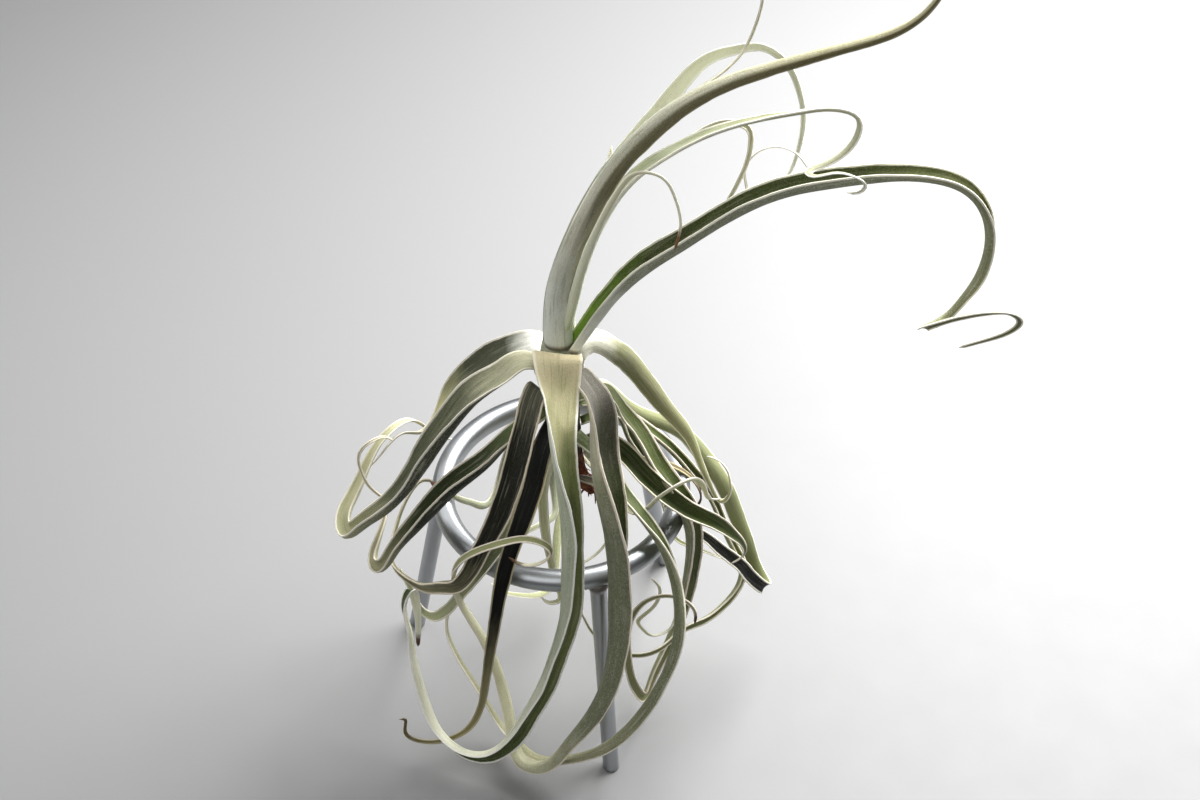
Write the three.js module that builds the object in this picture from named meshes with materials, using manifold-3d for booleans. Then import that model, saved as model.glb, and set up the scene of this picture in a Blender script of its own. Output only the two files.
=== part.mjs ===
// Air plant resting in a three-legged ring stand.
//
// Millimetres, +Z up. Every leaf is a channelled strap swept along its own route; the routes are
// written about the ring's upright axis, with z = 0 on the surface that the feet stand on. The
// finished group is shifted so that the middle of its bounding box's underside is the origin.

import * as THREE from 'three';
import * as BufferGeometryUtils from 'three/addons/utils/BufferGeometryUtils.js';
import Module from 'manifold-3d';

// ---------------------------------------------------------------------------------------------
// Driving dimensions
// ---------------------------------------------------------------------------------------------

// Stand
const RING_RADIUS = 50;            // to the middle of the rod
const RING_ROD_RADIUS = 4.75;
const RING_HEIGHT = 109;           // of the rod's middle above the floor
const RING_STEPS = 36;
const RING_SIDES = 12;
const LEG_RADIUS = 3.5;
const LEG_SIDES = 16;
const FOOT_CIRCLE_RADIUS = 69;     // where the legs' axes meet the floor
const LEGS = { front: -72, back: 48, left: 168 };   // degrees about the ring's axis
const SEAT_GAP = 0.3;              // between pieces that touch

// Stem: a short trunk that narrows downwards to a dry, pointed base
const STEM_SIDES = 14;
const STEM_PROFILE = [             // x, y, z of the middle, and radius there
  [0, 0, 196, 7.0],
  [0, 0, 190, 7.8],
  [0, 0, 176, 7.8],
  [1, 0, 158, 7.4],
  [2, 0, 140, 6.6],
  [4, 1, 126, 5.4],
  [8, 2, 113, 3.6],
  [13, 3, 103, 1.2],
];

// Leaves
const LEAF_RIB = 1.9;              // thickness along the middle of a broad leaf
const LEAF_MARGIN = 0.8;           // thickness at its edges
const LEAF_SLENDERNESS = 0.24;     // a narrow leaf is this fraction of its span thick
const BROAD_SPAN = 7;              // leaves at least this wide have facets closer together across
const STEP_LENGTH = 20;            // longest straight facet along a leaf
const STEP_TURN = 0.45;            // and the sharpest turn between two facets, in radians
const COLLAR_REACH = 1;            // a base follows the stem's round for this many spans

// Colours and finishes
const METAL = { color: '#b9bcbe', roughness: 0.22, metalness: 1 };
const DRY_STEM = { color: '#7a5a3c', roughness: 0.9 };
const OLIVE = { color: '#7f8166', roughness: 0.7 };
const SILVER = { color: '#8d9488', roughness: 0.75 };
const DARK_GREEN = { color: '#5b6650', roughness: 0.65 };
const BRIGHT_GREEN = { color: '#7f9a55', roughness: 0.6 };
const PALE = { color: '#c3c29a', roughness: 0.7 };
const BROWN = { color: '#8d6f57', roughness: 0.85 };

// Each leaf below is given at even steps from base to tip: spans are its widths across, rolls are
// the angles (degrees) through which its section is rolled, hollow side up, and twists turn it
// about its own length. The route is where its middle line runs.
const NO_TWIST = [0, 0];
const BROAD = [-80, 45, 95, 115, 125, 125, 115, 90, 60];
const ARCHED = [-80, -85, -100, -110, -115, -110, -110, -100, -60];
const FOLDED = [-80, 50, 175, 200, 200, 180, 130, 90, 60];
const DEEP = [-35, 120, 185, 200, 200, 170, 120, 90, 60];
const CHANNEL = [-35, 80, 120, 130, 125, 115, 100, 80, 60];
const UPRIGHT = [135, 135, 125, 125, 115, 115, 90, 80, 60];
const TUBE = [165, 165, 170, 170, 160, 140, 120, 90, 60];

// Broad leaves whose bases clasp the stem below the tuft before they arch over and down
const COLLAR_LEAVES = {
  leaf_front: {
    colour: OLIVE, rolls: FOLDED,
    twists: [0, -25, -69, -40, 0, 15, 0, -15, 0],
    spans: [19, 14, 12, 10.5, 8.8, 7.2, 6, 4.4, 1.2],
    route: [
      [0, -8.5, 189.5], [0, -10.3, 197.5], [0, -15, 201], [0, -22, 196], [0, -38, 187],
      [2, -47, 167], [4, -53, 144], [4, -58, 122], [3, -61, 100], [-2, -64, 77], [-7, -67, 60],
      [-14, -70, 44], [-23, -72, 26], [-31, -72, 18], [-39, -70, 15], [-47, -66, 16],
      [-54, -60, 21], [-59, -53, 33], [-63, -45, 49], [-65, -39, 66], [-66, -36, 77],
      [-64, -34, 82], [-62, -31, 69], [-62, -30, 52], [-63, -29, 38],
    ],
  },
  leaf_front_right: {
    colour: SILVER, rolls: DEEP,
    twists: [0, -27, -74, -70, -20, 10, 15, -20, 0],
    spans: [11.5, 12.5, 10.5, 8.2, 6.4, 5, 3.8, 2.4, 1.1],
    route: [
      [5, -7, 183], [7, -9.5, 188], [9.5, -14, 189], [14, -21, 187], [16, -32, 168],
      [19, -45, 153], [22, -52, 134], [23, -58, 113], [23, -64, 94], [20, -72, 72], [12, -76, 50],
      [3, -77, 33], [-4, -77, 20], [-11, -75, 14], [-17, -71, 13], [-20, -65, 16], [-22, -57, 24],
      [-25, -50, 37], [-30, -46, 57], [-38, -44, 78], [-43, -47, 99], [-42, -51, 118],
      [-32.5, -56.5, 135], [-20, -59, 144], [-9, -61, 147], [-3, -62, 142], [-7, -62, 135],
      [-15, -61, 133], [-20, -60, 136],
    ],
  },
  leaf_left: {
    colour: OLIVE, rolls: DEEP,
    twists: [0, 5, 13, 15, 20, 0, 0, 0, 0],
    spans: [11, 13.5, 12.5, 9.5, 7.2, 5.6, 3.8, 2.6, 1.3],
    route: [
      [-8, -2.5, 182], [-10, -3, 188], [-15, -4.5, 190.5], [-22, -8, 190], [-31, -12, 185],
      [-43, -16, 170], [-54, -19, 151], [-63, -20, 133], [-73, -21, 120], [-83, -20, 109],
      [-90, -17, 102], [-91, -13, 104], [-88, -6, 109], [-82, 2, 119], [-76, 9, 128],
      [-68, 16, 132], [-62, 24, 125], [-54, 31, 109], [-45, 35, 101], [-34, 38, 99],
    ],
  },
  leaf_right: {
    colour: OLIVE, rolls: ARCHED,
    twists: [0, 10, 25, 30, 30, 30, 20, 0, 0],
    spans: [11, 13, 11.5, 9.6, 7.6, 5, 2.6, 1.6, 1],
    route: [
      [6.5, 5, 181], [8, 6, 187.5], [13, 7.5, 190.5], [22, 7, 186], [29, 12, 173], [37, 13, 158],
      [46, 13, 142], [54, 12, 129], [59, 9, 116], [64, 7, 102], [69, 6, 94], [72, 6, 99],
      [72, 8, 105], [70, 11, 110], [66, 13, 113], [62, 15, 113],
    ],
  },
  leaf_back_left: {
    colour: PALE, rolls: BROAD,
    twists: [0, -10, -20, -20, -20, -20, -10, 0, 0],
    spans: [9.5, 12, 11, 9.5, 9, 6.5, 3, 2, 1],
    route: [
      [-5, 7, 184], [-6.5, 9, 189.5], [-11, 13, 191], [-23, 17, 177], [-32, 22, 165],
      [-41, 26, 151], [-48, 27, 137], [-52, 26, 127], [-57, 23, 121], [-62, 18, 124],
      [-67, 14, 128], [-72, 9, 127], [-78, 6, 120], [-83, 4, 116],
    ],
  },
  leaf_back: {
    colour: OLIVE, rolls: BROAD,
    spans: [9, 11, 10, 8, 6.4, 5, 4, 3, 1.4],
    route: [
      [1, 8.5, 173.5], [1, 10.5, 178.5], [2, 16, 180], [4, 32, 168], [5, 50, 138], [5, 60, 108],
      [4, 60, 80], [1, 48, 53], [-3, 30, 38], [-8, 12, 25], [-19, 6, 30], [-27, 4, 35],
      [-32, 4, 41],
    ],
  },
};

// Narrower leaves from the stem's side
const SIDE_LEAVES = {
  leaf_right_hoop: {
    colour: SILVER, rolls: DEEP,
    twists: [0, -5, -45, -40, -30, 0, 20, 15, 0],
    spans: [7, 6.6, 6.4, 6, 5.2, 4.4, 3.8, 3, 2],
    route: [
      [6, -6, 150], [18, -12, 140], [25, -19, 131], [34, -29, 124], [42, -37, 115], [47, -45, 104],
      [49, -57, 92], [46, -66, 77], [39, -73, 62], [30, -77, 47], [18, -79, 33], [7, -76, 22],
      [-2, -72, 14], [-12, -67, 10], [-19, -60, 10], [-25, -53, 10], [-34, -45, 22],
      [-43, -37, 35], [-49, -30, 46], [-49, -27, 57], [-46, -24, 62], [-39, -21, 70],
      [-33, -18, 75],
    ],
  },
  leaf_left_channel: {
    colour: DARK_GREEN, rolls: DEEP,
    twists: [0, 25, 28, 25, 15, 0, 0, 0, 0],
    spans: [8, 10, 11, 9, 6, 4.4, 2, 1.4, 1],
    route: [
      [-7, -5, 163], [-12, -10, 162], [-19, -15, 159], [-30, -22, 150], [-40, -26, 143],
      [-50, -29, 133], [-60, -31, 120], [-69, -32, 106], [-76, -31, 95], [-78, -28, 94],
      [-77, -22, 99], [-74, -14, 105], [-74, -7, 109], [-79, -5, 114], [-83, -3, 122],
      [-84, 0, 130], [-79, 2, 136], [-74, 5, 136], [-70, 8, 130],
    ],
  },
  leaf_front_left: {
    colour: DARK_GREEN, rolls: DEEP,
    twists: [0, -10, -10, -5, 0, 0, 0, 0, 0],
    spans: [11, 11, 10.2, 8, 6, 4.6, 3.8, 2.6, 1.4],
    route: [
      [-5, -7.5, 170], [-9, -15, 184], [-13, -25, 176], [-16, -34, 168], [-20, -42, 156],
      [-25, -47, 143], [-32, -51, 128], [-37, -54, 118], [-41, -55, 113], [-46, -52, 108],
      [-56, -42, 95], [-66, -29, 86], [-72, -18, 83], [-72, -7, 84], [-69, 4, 89], [-64, 13, 94],
      [-60, 18, 94], [-56, 20, 91],
    ],
  },
  leaf_left_hook: {
    colour: SILVER, rolls: CHANNEL,
    spans: [6, 5.4, 5, 4.4, 3.8, 3.4, 3, 2.4, 1.4],
    route: [
      [-5, -6, 142], [-12, -18, 131], [-19, -32, 122.5], [-26, -42, 117], [-32, -46, 110],
      [-39, -42, 94], [-45, -39, 80], [-50, -35, 69], [-56, -31, 62], [-61, -26, 62],
      [-64, -21, 66], [-68, -15, 69], [-70, -11, 70],
    ],
  },
  leaf_dark: {
    colour: DARK_GREEN, rolls: DEEP,
    twists: [0, -15, -20, -20, -20, -10, 0, 0, 0],
    spans: [8, 8.6, 7, 5, 4, 3.2, 2.6, 1.9, 1],
    route: [
      [-3, -8, 157], [-7, -18, 153], [-10, -27, 145], [-14, -37, 137], [-19, -47, 128],
      [-23, -56, 117], [-26, -61, 100], [-29, -62, 78], [-32, -60, 51], [-36, -59, 29],
      [-44, -59, 15], [-53, -60, 11], [-62, -60, 11], [-68, -60, 18], [-68, -60, 27],
      [-70, -61, 28],
    ],
  },
  leaf_right_outer: {
    colour: SILVER, rolls: ARCHED,
    twists: [0, 80, 75, 85, 95, 100, 130, 135, 135],
    spans: [6, 6, 6.2, 7, 7, 6.4, 6, 5.4, 3.2],
    route: [
      [6, 6, 166], [14, 13.5, 163.5], [28, 25.5, 133.5], [38, 28, 123], [51, 28, 115],
      [61, 25, 103], [70, 20, 90], [76, 17, 74], [82, 13, 56], [88, 9, 39], [90, 6, 37],
      [86, 2, 44], [77, -2, 62], [67, -5, 77], [58, -6, 88], [52, -6, 91],
    ],
  },
  leaf_right_mid: {
    colour: DARK_GREEN, rolls: DEEP,
    twists: [0, 28, 25, 46, 54, 50, 0, 0, 0],
    spans: [6.5, 6.2, 5.6, 4.8, 4.2, 3.4, 2.8, 2.2, 1],
    route: [
      [8, -2, 168], [19, 1.5, 167.5], [25, 2, 156], [32, 0, 145], [37, -5, 137], [43, -10, 128],
      [51, -17, 118], [55, -18, 100], [55, -14, 72], [53, -13, 50], [49, -16, 33], [44, -23, 24],
      [39, -30, 15], [36, -35, 10], [33, -38, 17], [29, -40, 37], [28, -40, 54], [30, -38, 70],
      [36, -35, 77], [45, -33, 78], [53, -33, 74], [57, -34, 68], [57, -35, 61],
    ],
  },
  leaf_right_low: {
    colour: DARK_GREEN, rolls: DEEP,
    twists: [0, 40, 40, 40, 40, 40, 40, 60, 60],
    spans: [7, 7.4, 7.6, 7.4, 6.4, 5, 3.4, 2, 1.1],
    route: [
      [8, -3, 142], [21, -1.5, 139.5], [32, -10, 134], [42, -16.5, 126.5], [53, -24, 123],
      [63, -25, 117], [71, -22, 106], [77, -18, 93], [77, -12, 78], [73, -8, 69],
    ],
  },
  leaf_right_long: {
    colour: OLIVE, rolls: DEEP,
    twists: [0, 27, 30, 41, 38, 60, 60, 40, 0],
    spans: [6, 5.4, 5, 4.4, 4.1, 4, 3.4, 2.4, 1.2],
    route: [
      [7, 4, 158], [21, 14, 146], [33, 16.5, 131.5], [44, 11, 125], [55, 7, 112], [63, 8, 97],
      [69, 7, 80], [75, 6, 63], [79, 4, 52], [78, 1, 44], [71, -6, 38], [62, -13, 36],
      [53, -19, 37], [44, -26, 34], [37, -30, 34], [30, -32, 36], [22, -32, 40], [15, -30, 46],
      [10, -26, 53], [7, -22, 59], [4, -18, 65],
    ],
  },
  leaf_right_slim: {
    colour: SILVER, rolls: DEEP,
    twists: [0, 9, 39, 30, 39, 42, 39, 30, 0],
    spans: [5, 4.6, 4.2, 3.8, 3.2, 2.8, 2.4, 2, 1],
    route: [
      [8, 1, 150], [21, 5, 151], [28, 8, 135], [34, 8, 121], [40, 7, 108], [43, 5, 96],
      [46, 3, 84], [50, 1, 74], [58, 0, 70], [65, -1, 67], [72, -2, 64],
    ],
  },
  leaf_right_cream: {
    colour: PALE, rolls: CHANNEL,
    spans: [4, 3.8, 3.6, 3.2, 2.8, 2.4, 2, 1.5, 1],
    route: [
      [8, 0.5, 133], [24, -5, 115], [34, -10, 102], [42, -14, 87], [47, -18, 71], [49, -22, 56],
      [46, -25, 44], [40, -27, 43], [35, -28, 49], [33, -29, 56], [37, -29, 62], [41, -28, 68],
      [42, -26, 74], [38, -24, 79],
    ],
  },
  leaf_brown_curl: {
    colour: BROWN, rolls: CHANNEL,
    spans: [5, 4.6, 4.2, 3.8, 3.6, 3.5, 3.4, 3.1, 2.4],
    route: [
      [8, 0, 136], [26, 3.5, 126.5], [32, 2, 125], [42, 0, 125], [51, -1, 121], [57, -3, 115],
      [59, -5, 108], [56, -5, 102],
    ],
  },
  leaf_strap: {
    colour: PALE, rolls: CHANNEL,
    spans: [4, 3.8, 3.6, 3.4, 3.2, 3, 2.4, 1.6, 1],
    route: [
      [7, -5, 121], [24, -12, 117], [30, -16.5, 113], [35, -21, 119], [41, -24, 131],
      [48, -24, 138], [54, -19, 136], [60, -13, 123], [64, -7, 110], [68, -4, 107],
    ],
  },
  leaf_back_left_low: {
    colour: SILVER, rolls: CHANNEL,
    spans: [6, 6, 5.6, 4.8, 4, 3.2, 2.8, 2.4, 1.6],
    route: [
      [-7, 5, 160], [-15, 14, 133], [-23, 16.5, 111.5], [-27, 12, 99], [-31, 4, 95],
      [-37, -3, 103], [-44, -9, 114], [-50, -7, 117], [-55, -3, 117],
    ],
  },
  leaf_inner: {
    colour: PALE, rolls: CHANNEL,
    spans: [5, 5, 5, 4.6, 4.2, 3.6, 2.6, 2, 1],
    route: [
      [-6, -3, 132], [-6, -7, 126], [-7, -9, 109], [-6, -14, 95], [-4, -19, 83], [-2, -23, 73],
      [-1, -26, 66], [-5, -28, 67], [-9, -29, 73],
    ],
  },
  leaf_inner_left: {
    colour: SILVER, rolls: CHANNEL,
    spans: [4.5, 4.4, 4, 3.6, 3.2, 2.8, 2.4, 2, 1.2],
    route: [
      [-4, 8, 140], [-3, 10, 93], [-3, 4, 88], [-9, -2, 88], [-17, -8, 88], [-21, -10, 84],
    ],
  },
  leaf_inner_right: {
    colour: PALE, rolls: CHANNEL,
    spans: [4.5, 4.4, 4, 3.6, 3.2, 2.8, 2.4, 2, 1.2],
    route: [
      [9, 3, 124], [20, 3, 105], [21, 0, 92], [20, -6, 84], [14, -10, 77], [7, -14, 75],
      [2, -18, 76],
    ],
  },
};

// Leaves of the upright tuft; faces is the way that a leaf's hollow side looks, in degrees
const TUFT_LEAVES = {
  upper_rolled: {
    colour: SILVER, rolls: TUBE, faces: 30,
    spans: [9.4, 8.6, 8.4, 7.6, 6.2, 4.4, 3, 2, 1],
    route: [
      [-3, -3, 196], [-0.5, 2.5, 222.5], [4, 3, 241.5], [11, 4, 261], [21, 6, 282], [34, 8, 299],
      [49, 10, 312], [65, 12, 320], [82, 13, 326], [99, 13, 332], [114, 12, 338], [127, 10, 347],
      [135, 8, 360], [138, 4, 380], [135, 0, 402], [128, -6, 418],
    ],
  },
  upper_pale: {
    colour: PALE, rolls: UPRIGHT, faces: -90,
    spans: [5, 6.8, 7.4, 7.6, 6.6, 4.4, 2.4, 1.8, 1],
    route: [
      [0.7, 4.8, 196.3], [1.7, 12.5, 224.5], [7, 15.5, 239.5], [16, 19, 261], [32, 24, 285],
      [47, 30, 304], [57, 31, 315], [67, 32, 318], [76, 32, 319], [84, 31, 314], [90, 30, 303],
      [93, 28, 290], [92, 25, 276], [89, 21, 268], [84, 16, 263],
    ],
  },
  upper_slim: {
    colour: SILVER, rolls: UPRIGHT, faces: -30,
    spans: [3.4, 4.4, 4.4, 4, 3.4, 2.6, 1.9, 1.4, 1],
    route: [
      [-5.4, 3.1, 196.2], [-3.8, 7, 218.5], [3, 11.5, 241.5], [15, 16, 268], [31, 20, 289],
      [46, 22, 302], [58, 22, 312], [67, 21, 323], [72, 19, 338], [74, 17, 352], [72, 13, 365],
      [68, 8, 376],
    ],
  },
  upper_arching: {
    colour: SILVER, rolls: UPRIGHT, faces: 118,
    twists: [60, 70, 70, 60, 50, 30, 0, 0, 0],
    spans: [4.4, 4.6, 4.8, 4.6, 4.2, 3.4, 2.6, 2, 1],
    route: [
      [2, 1, 196], [7, 3, 218], [12, 3, 241.5], [18, 3, 260], [28, 4, 278], [41, -1, 295],
      [56, -9, 312], [73, -12, 321], [89, -15, 327], [101, -18, 330], [107, -20, 328],
      [107, -22, 322], [101, -25, 315], [94, -28, 313], [90, -31, 313], [91, -34, 314],
      [99, -36, 317], [106, -36, 315], [110, -35, 310], [108, -34, 306], [104, -33, 305],
    ],
  },
  upper_curl: {
    colour: PALE, rolls: UPRIGHT, faces: -133,
    spans: [3.4, 3.4, 3.4, 3, 2.4, 1.8, 1.4, 1.2, 1],
    route: [
      [6, 3, 196], [6, 7.5, 216], [12, 8, 242], [21, 8, 265], [35, 9, 282], [51, 9, 295],
      [64, 9, 302], [71, 8, 300], [72, 6, 294], [70, 4, 284], [66, 3, 273], [64, 5, 262],
      [68, 9, 255], [72, 12, 262], [71, 13, 274], [75, 13, 284], [83, 12, 288], [90, 10, 286],
      [94, 8, 281],
    ],
  },
  upper_brown_tip: {
    colour: OLIVE, rolls: UPRIGHT, faces: 75,
    spans: [3.6, 3.6, 3.4, 3, 2.4, 1.8, 1.5, 1.2, 1],
    route: [
      [0, -2, 196], [5, -1, 215.5], [10, -2.5, 241], [17, -4, 265], [25, -8, 287], [32, -13, 297],
      [39, -16, 297], [44, -19, 289], [46, -21, 279], [44, -23, 268],
    ],
  },
  upper_channel: {
    colour: BRIGHT_GREEN, rolls: UPRIGHT, faces: 180,
    twists: [0, -5, -12, -18, -20, -10, 0, 0, 0],
    spans: [6.4, 8, 9, 8.2, 5.6, 5.2, 3.4, 2.2, 1],
    route: [
      [6, -3, 196], [10, -2, 203], [19, -6, 224], [32, -9, 245], [48, -12, 262], [66, -15, 280],
      [84, -18, 293], [101, -21, 300], [118, -24, 305], [134, -27, 307], [147, -29, 303],
      [155, -30, 292], [158, -29, 278], [157, -26, 258], [152, -22, 240], [146, -22, 231],
      [140, -25, 230], [139, -30, 235], [147, -36, 245], [158, -42, 254], [166, -45, 257],
      [171, -43, 251], [168, -40, 242], [161, -37, 235], [152, -34, 228],
    ],
  },
  upper_short: {
    colour: SILVER, rolls: UPRIGHT, faces: -90,
    spans: [3, 3, 3, 2.8, 2.4, 2, 1.6, 1.3, 1],
    route: [
      [-1, 7, 196], [1, 16.5, 220.5], [8, 22, 239], [16, 27, 258], [20, 30, 267], [21, 30, 273],
    ],
  },
};
// ---------------------------------------------------------------------------------------------
// Small helpers
// ---------------------------------------------------------------------------------------------

const UP = new THREE.Vector3(0, 0, 1);
const radians = THREE.MathUtils.degToRad;

/** Point at a radius and an angle (degrees) about the ring's axis. */
function around(radius, degrees, height) {
  const angle = radians(degrees);
  return new THREE.Vector3(radius * Math.cos(angle), radius * Math.sin(angle), height);
}

/** Catmull-Rom value of an evenly spaced list at t from 0 to 1. */
function along(values, t) {
  const place = t * (values.length - 1);
  const i = Math.min(Math.floor(place), values.length - 2);
  const u = place - i;
  const here = values[i];
  const next = values[i + 1];
  const before = values[i - 1] ?? 2 * here - next;
  const after = values[i + 2] ?? 2 * next - here;
  const slopeIn = (next - before) / 2;
  const slopeOut = (after - here) / 2;
  return here + u * (slopeIn + u * (3 * (next - here) - 2 * slopeIn - slopeOut
    + u * (2 * (here - next) + slopeIn + slopeOut)));
}

/** Second derivatives of the natural cubic spline through the values at the knots. */
function splineBends(knots, values) {
  const bends = new Array(knots.length).fill(0);
  const ratios = [0];
  const rests = [0];
  for (let i = 1; i < knots.length - 1; i++) {
    const before = knots[i] - knots[i - 1];
    const after = knots[i + 1] - knots[i];
    const change = (values[i + 1] - values[i]) / after - (values[i] - values[i - 1]) / before;
    const pivot = 2 * (before + after) - before * ratios[i - 1];
    ratios.push(after / pivot);
    rests.push((6 * change - before * rests[i - 1]) / pivot);
  }
  for (let i = knots.length - 2; i > 0; i--) {
    bends[i] = rests[i] - ratios[i] * bends[i + 1];
  }
  return bends;
}

/** Points about 1 mm apart on the natural cubic spline through a route. */
function splinePoints(route) {
  const knots = [0];
  for (let i = 1; i < route.length; i++) {
    knots.push(knots[i - 1] + route[i].distanceTo(route[i - 1]));
  }
  const bends = ['x', 'y', 'z'].map((axis) => splineBends(knots, route.map((p) => p[axis])));
  const total = knots[knots.length - 1];
  const count = Math.ceil(total);
  const points = [];
  for (let j = 0, i = 0; j <= count; j++) {
    const t = (j / count) * total;
    while (i < route.length - 2 && t > knots[i + 1]) i++;
    const h = knots[i + 1] - knots[i];
    const a = knots[i + 1] - t;
    const b = t - knots[i];
    const xyz = ['x', 'y', 'z'].map((axis, k) => {
      const [m0, m1] = [bends[k][i], bends[k][i + 1]];
      return (m0 * a ** 3 + m1 * b ** 3) / (6 * h)
        + (route[i][axis] / h - (m0 * h) / 6) * a
        + (route[i + 1][axis] / h - (m1 * h) / 6) * b;
    });
    points.push(new THREE.Vector3(...xyz));
  }
  return points;
}

/** Indexed geometry of a tube of equal rings, closed by a cap at each end. */
function ringedGeometry(rings, capTriangles) {
  const sides = rings[0].length;
  const last = (rings.length - 1) * sides;
  const index = [];
  for (let i = 0; i < rings.length - 1; i++) {
    for (let j = 0; j < sides; j++) {
      const a = i * sides + j;
      const b = i * sides + ((j + 1) % sides);
      index.push(a, b, b + sides, a, b + sides, a + sides);
    }
  }
  for (const [a, b, c] of capTriangles) {
    index.push(a, c, b, last + a, last + b, last + c);
  }
  const geometry = new THREE.BufferGeometry().setFromPoints(rings.flat());
  geometry.setIndex(index);
  return geometry;
}

// ---------------------------------------------------------------------------------------------
// Solids that are joined or cut
// ---------------------------------------------------------------------------------------------

const wasm = await Module();
wasm.setup();

/** Solid of a closed three.js geometry. */
function solidOf(geometry) {
  const bare = geometry.clone();
  bare.deleteAttribute('normal');
  bare.deleteAttribute('uv');
  const merged = BufferGeometryUtils.mergeVertices(bare, 1e-4);
  return new wasm.Manifold(new wasm.Mesh({
    numProp: 3,
    vertProperties: Float32Array.from(merged.attributes.position.array),
    triVerts: Uint32Array.from(merged.index.array),
  }));
}

/** three.js geometry of a solid. */
function geometryOf(solid) {
  const mesh = solid.getMesh();
  const geometry = new THREE.BufferGeometry();
  geometry.setAttribute('position', new THREE.BufferAttribute(mesh.vertProperties, 3));
  geometry.setIndex(new THREE.BufferAttribute(mesh.triVerts, 1));
  return geometry;
}

// ---------------------------------------------------------------------------------------------
// Stand
// ---------------------------------------------------------------------------------------------

/** The ring's round rod, or a fatter one that clears it. */
function ringGeometry(rodRadius) {
  return new THREE.TorusGeometry(RING_RADIUS, rodRadius, RING_SIDES, RING_STEPS)
    .translate(0, 0, RING_HEIGHT);
}

/** A splayed leg: its top is hollowed to fit under the ring, its foot is cut level. */
function legGeometry(degrees) {
  const top = around(RING_RADIUS, degrees, RING_HEIGHT);
  const foot = around(FOOT_CIRCLE_RADIUS, degrees, 0);
  const way = foot.clone().sub(top);
  const end = foot.clone().addScaledVector(way.clone().normalize(), 2 * LEG_RADIUS);
  const rod = new THREE.CylinderGeometry(LEG_RADIUS, LEG_RADIUS, end.distanceTo(top), LEG_SIDES)
    .applyQuaternion(new THREE.Quaternion().setFromUnitVectors(
      new THREE.Vector3(0, -1, 0), way.normalize()))
    .translate(...top.clone().add(end).multiplyScalar(0.5).toArray());
  const floorSize = 4 * FOOT_CIRCLE_RADIUS;
  const belowFloor = new THREE.BoxGeometry(floorSize, floorSize, 20).translate(0, 0, -10);
  const pieces = solidOf(rod)
    .subtract(solidOf(ringGeometry(RING_ROD_RADIUS + SEAT_GAP)))
    .subtract(solidOf(belowFloor))
    .decompose();
  // what the cut leaves above the ring's rod is dropped
  pieces.sort((a, b) => b.volume() - a.volume());
  return geometryOf(pieces[0]);
}

// ---------------------------------------------------------------------------------------------
// Stem
// ---------------------------------------------------------------------------------------------

const stemAxis = STEM_PROFILE.map(([x, y, z]) => new THREE.Vector3(x, y, z));

/** Middle and radius of the stem at a height. */
function stemAt(height) {
  for (let i = 0; i < STEM_PROFILE.length - 1; i++) {
    const [x0, y0, z0, r0] = STEM_PROFILE[i];
    const [x1, y1, z1, r1] = STEM_PROFILE[i + 1];
    if (height >= z1) {
      const u = (z0 - height) / (z0 - z1);
      return {
        x: THREE.MathUtils.lerp(x0, x1, u),
        y: THREE.MathUtils.lerp(y0, y1, u),
        radius: THREE.MathUtils.lerp(r0, r1, u),
      };
    }
  }
  throw new Error('no stem at this height');
}

function stemGeometry() {
  const rings = STEM_PROFILE.map(([x, y, z, radius]) => {
    const ring = [];
    for (let j = 0; j < STEM_SIDES; j++) {
      const angle = (-2 * Math.PI * j) / STEM_SIDES;
      ring.push(new THREE.Vector3(x + radius * Math.cos(angle), y + radius * Math.sin(angle), z));
    }
    return ring;
  });
  const fan = [];
  for (let j = 1; j < STEM_SIDES - 1; j++) fan.push([0, j, j + 1]);
  return ringedGeometry(rings, fan);
}

// ---------------------------------------------------------------------------------------------
// Leaves
// ---------------------------------------------------------------------------------------------

/** Samples of a leaf's middle line with its tangent, its upper face's normal and distance. */
function leafSpine(route, facing) {
  const points = splinePoints(route);
  const spine = [];
  let normal = facing.clone();
  let distance = 0;
  points.forEach((point, i) => {
    const tangent = points[Math.min(i + 1, points.length - 1)].clone()
      .sub(points[Math.max(i - 1, 0)]).normalize();
    normal = normal.clone().addScaledVector(tangent, -normal.dot(tangent)).normalize();
    if (i > 0) distance += point.distanceTo(points[i - 1]);
    spine.push({ point, tangent, normal, distance });
  });
  return spine;
}

/** The samples at which facets meet: closer together where the leaf bends more. */
function leafStations(spine) {
  const effort = [0];
  for (let i = 1; i < spine.length; i++) {
    const step = spine[i].distance - spine[i - 1].distance;
    const turn = spine[i].tangent.angleTo(spine[i - 1].tangent);
    effort.push(effort[i - 1] + step / STEP_LENGTH + turn / STEP_TURN);
  }
  const count = Math.max(4, Math.ceil(effort[effort.length - 1]));
  const stations = [];
  for (let k = 0, i = 0; k <= count; k++) {
    const goal = (k / count) * effort[effort.length - 1];
    while (i < spine.length - 1 && effort[i] < goal - 1e-9) i++;
    stations.push(spine[i]);
  }
  return stations;
}

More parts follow.
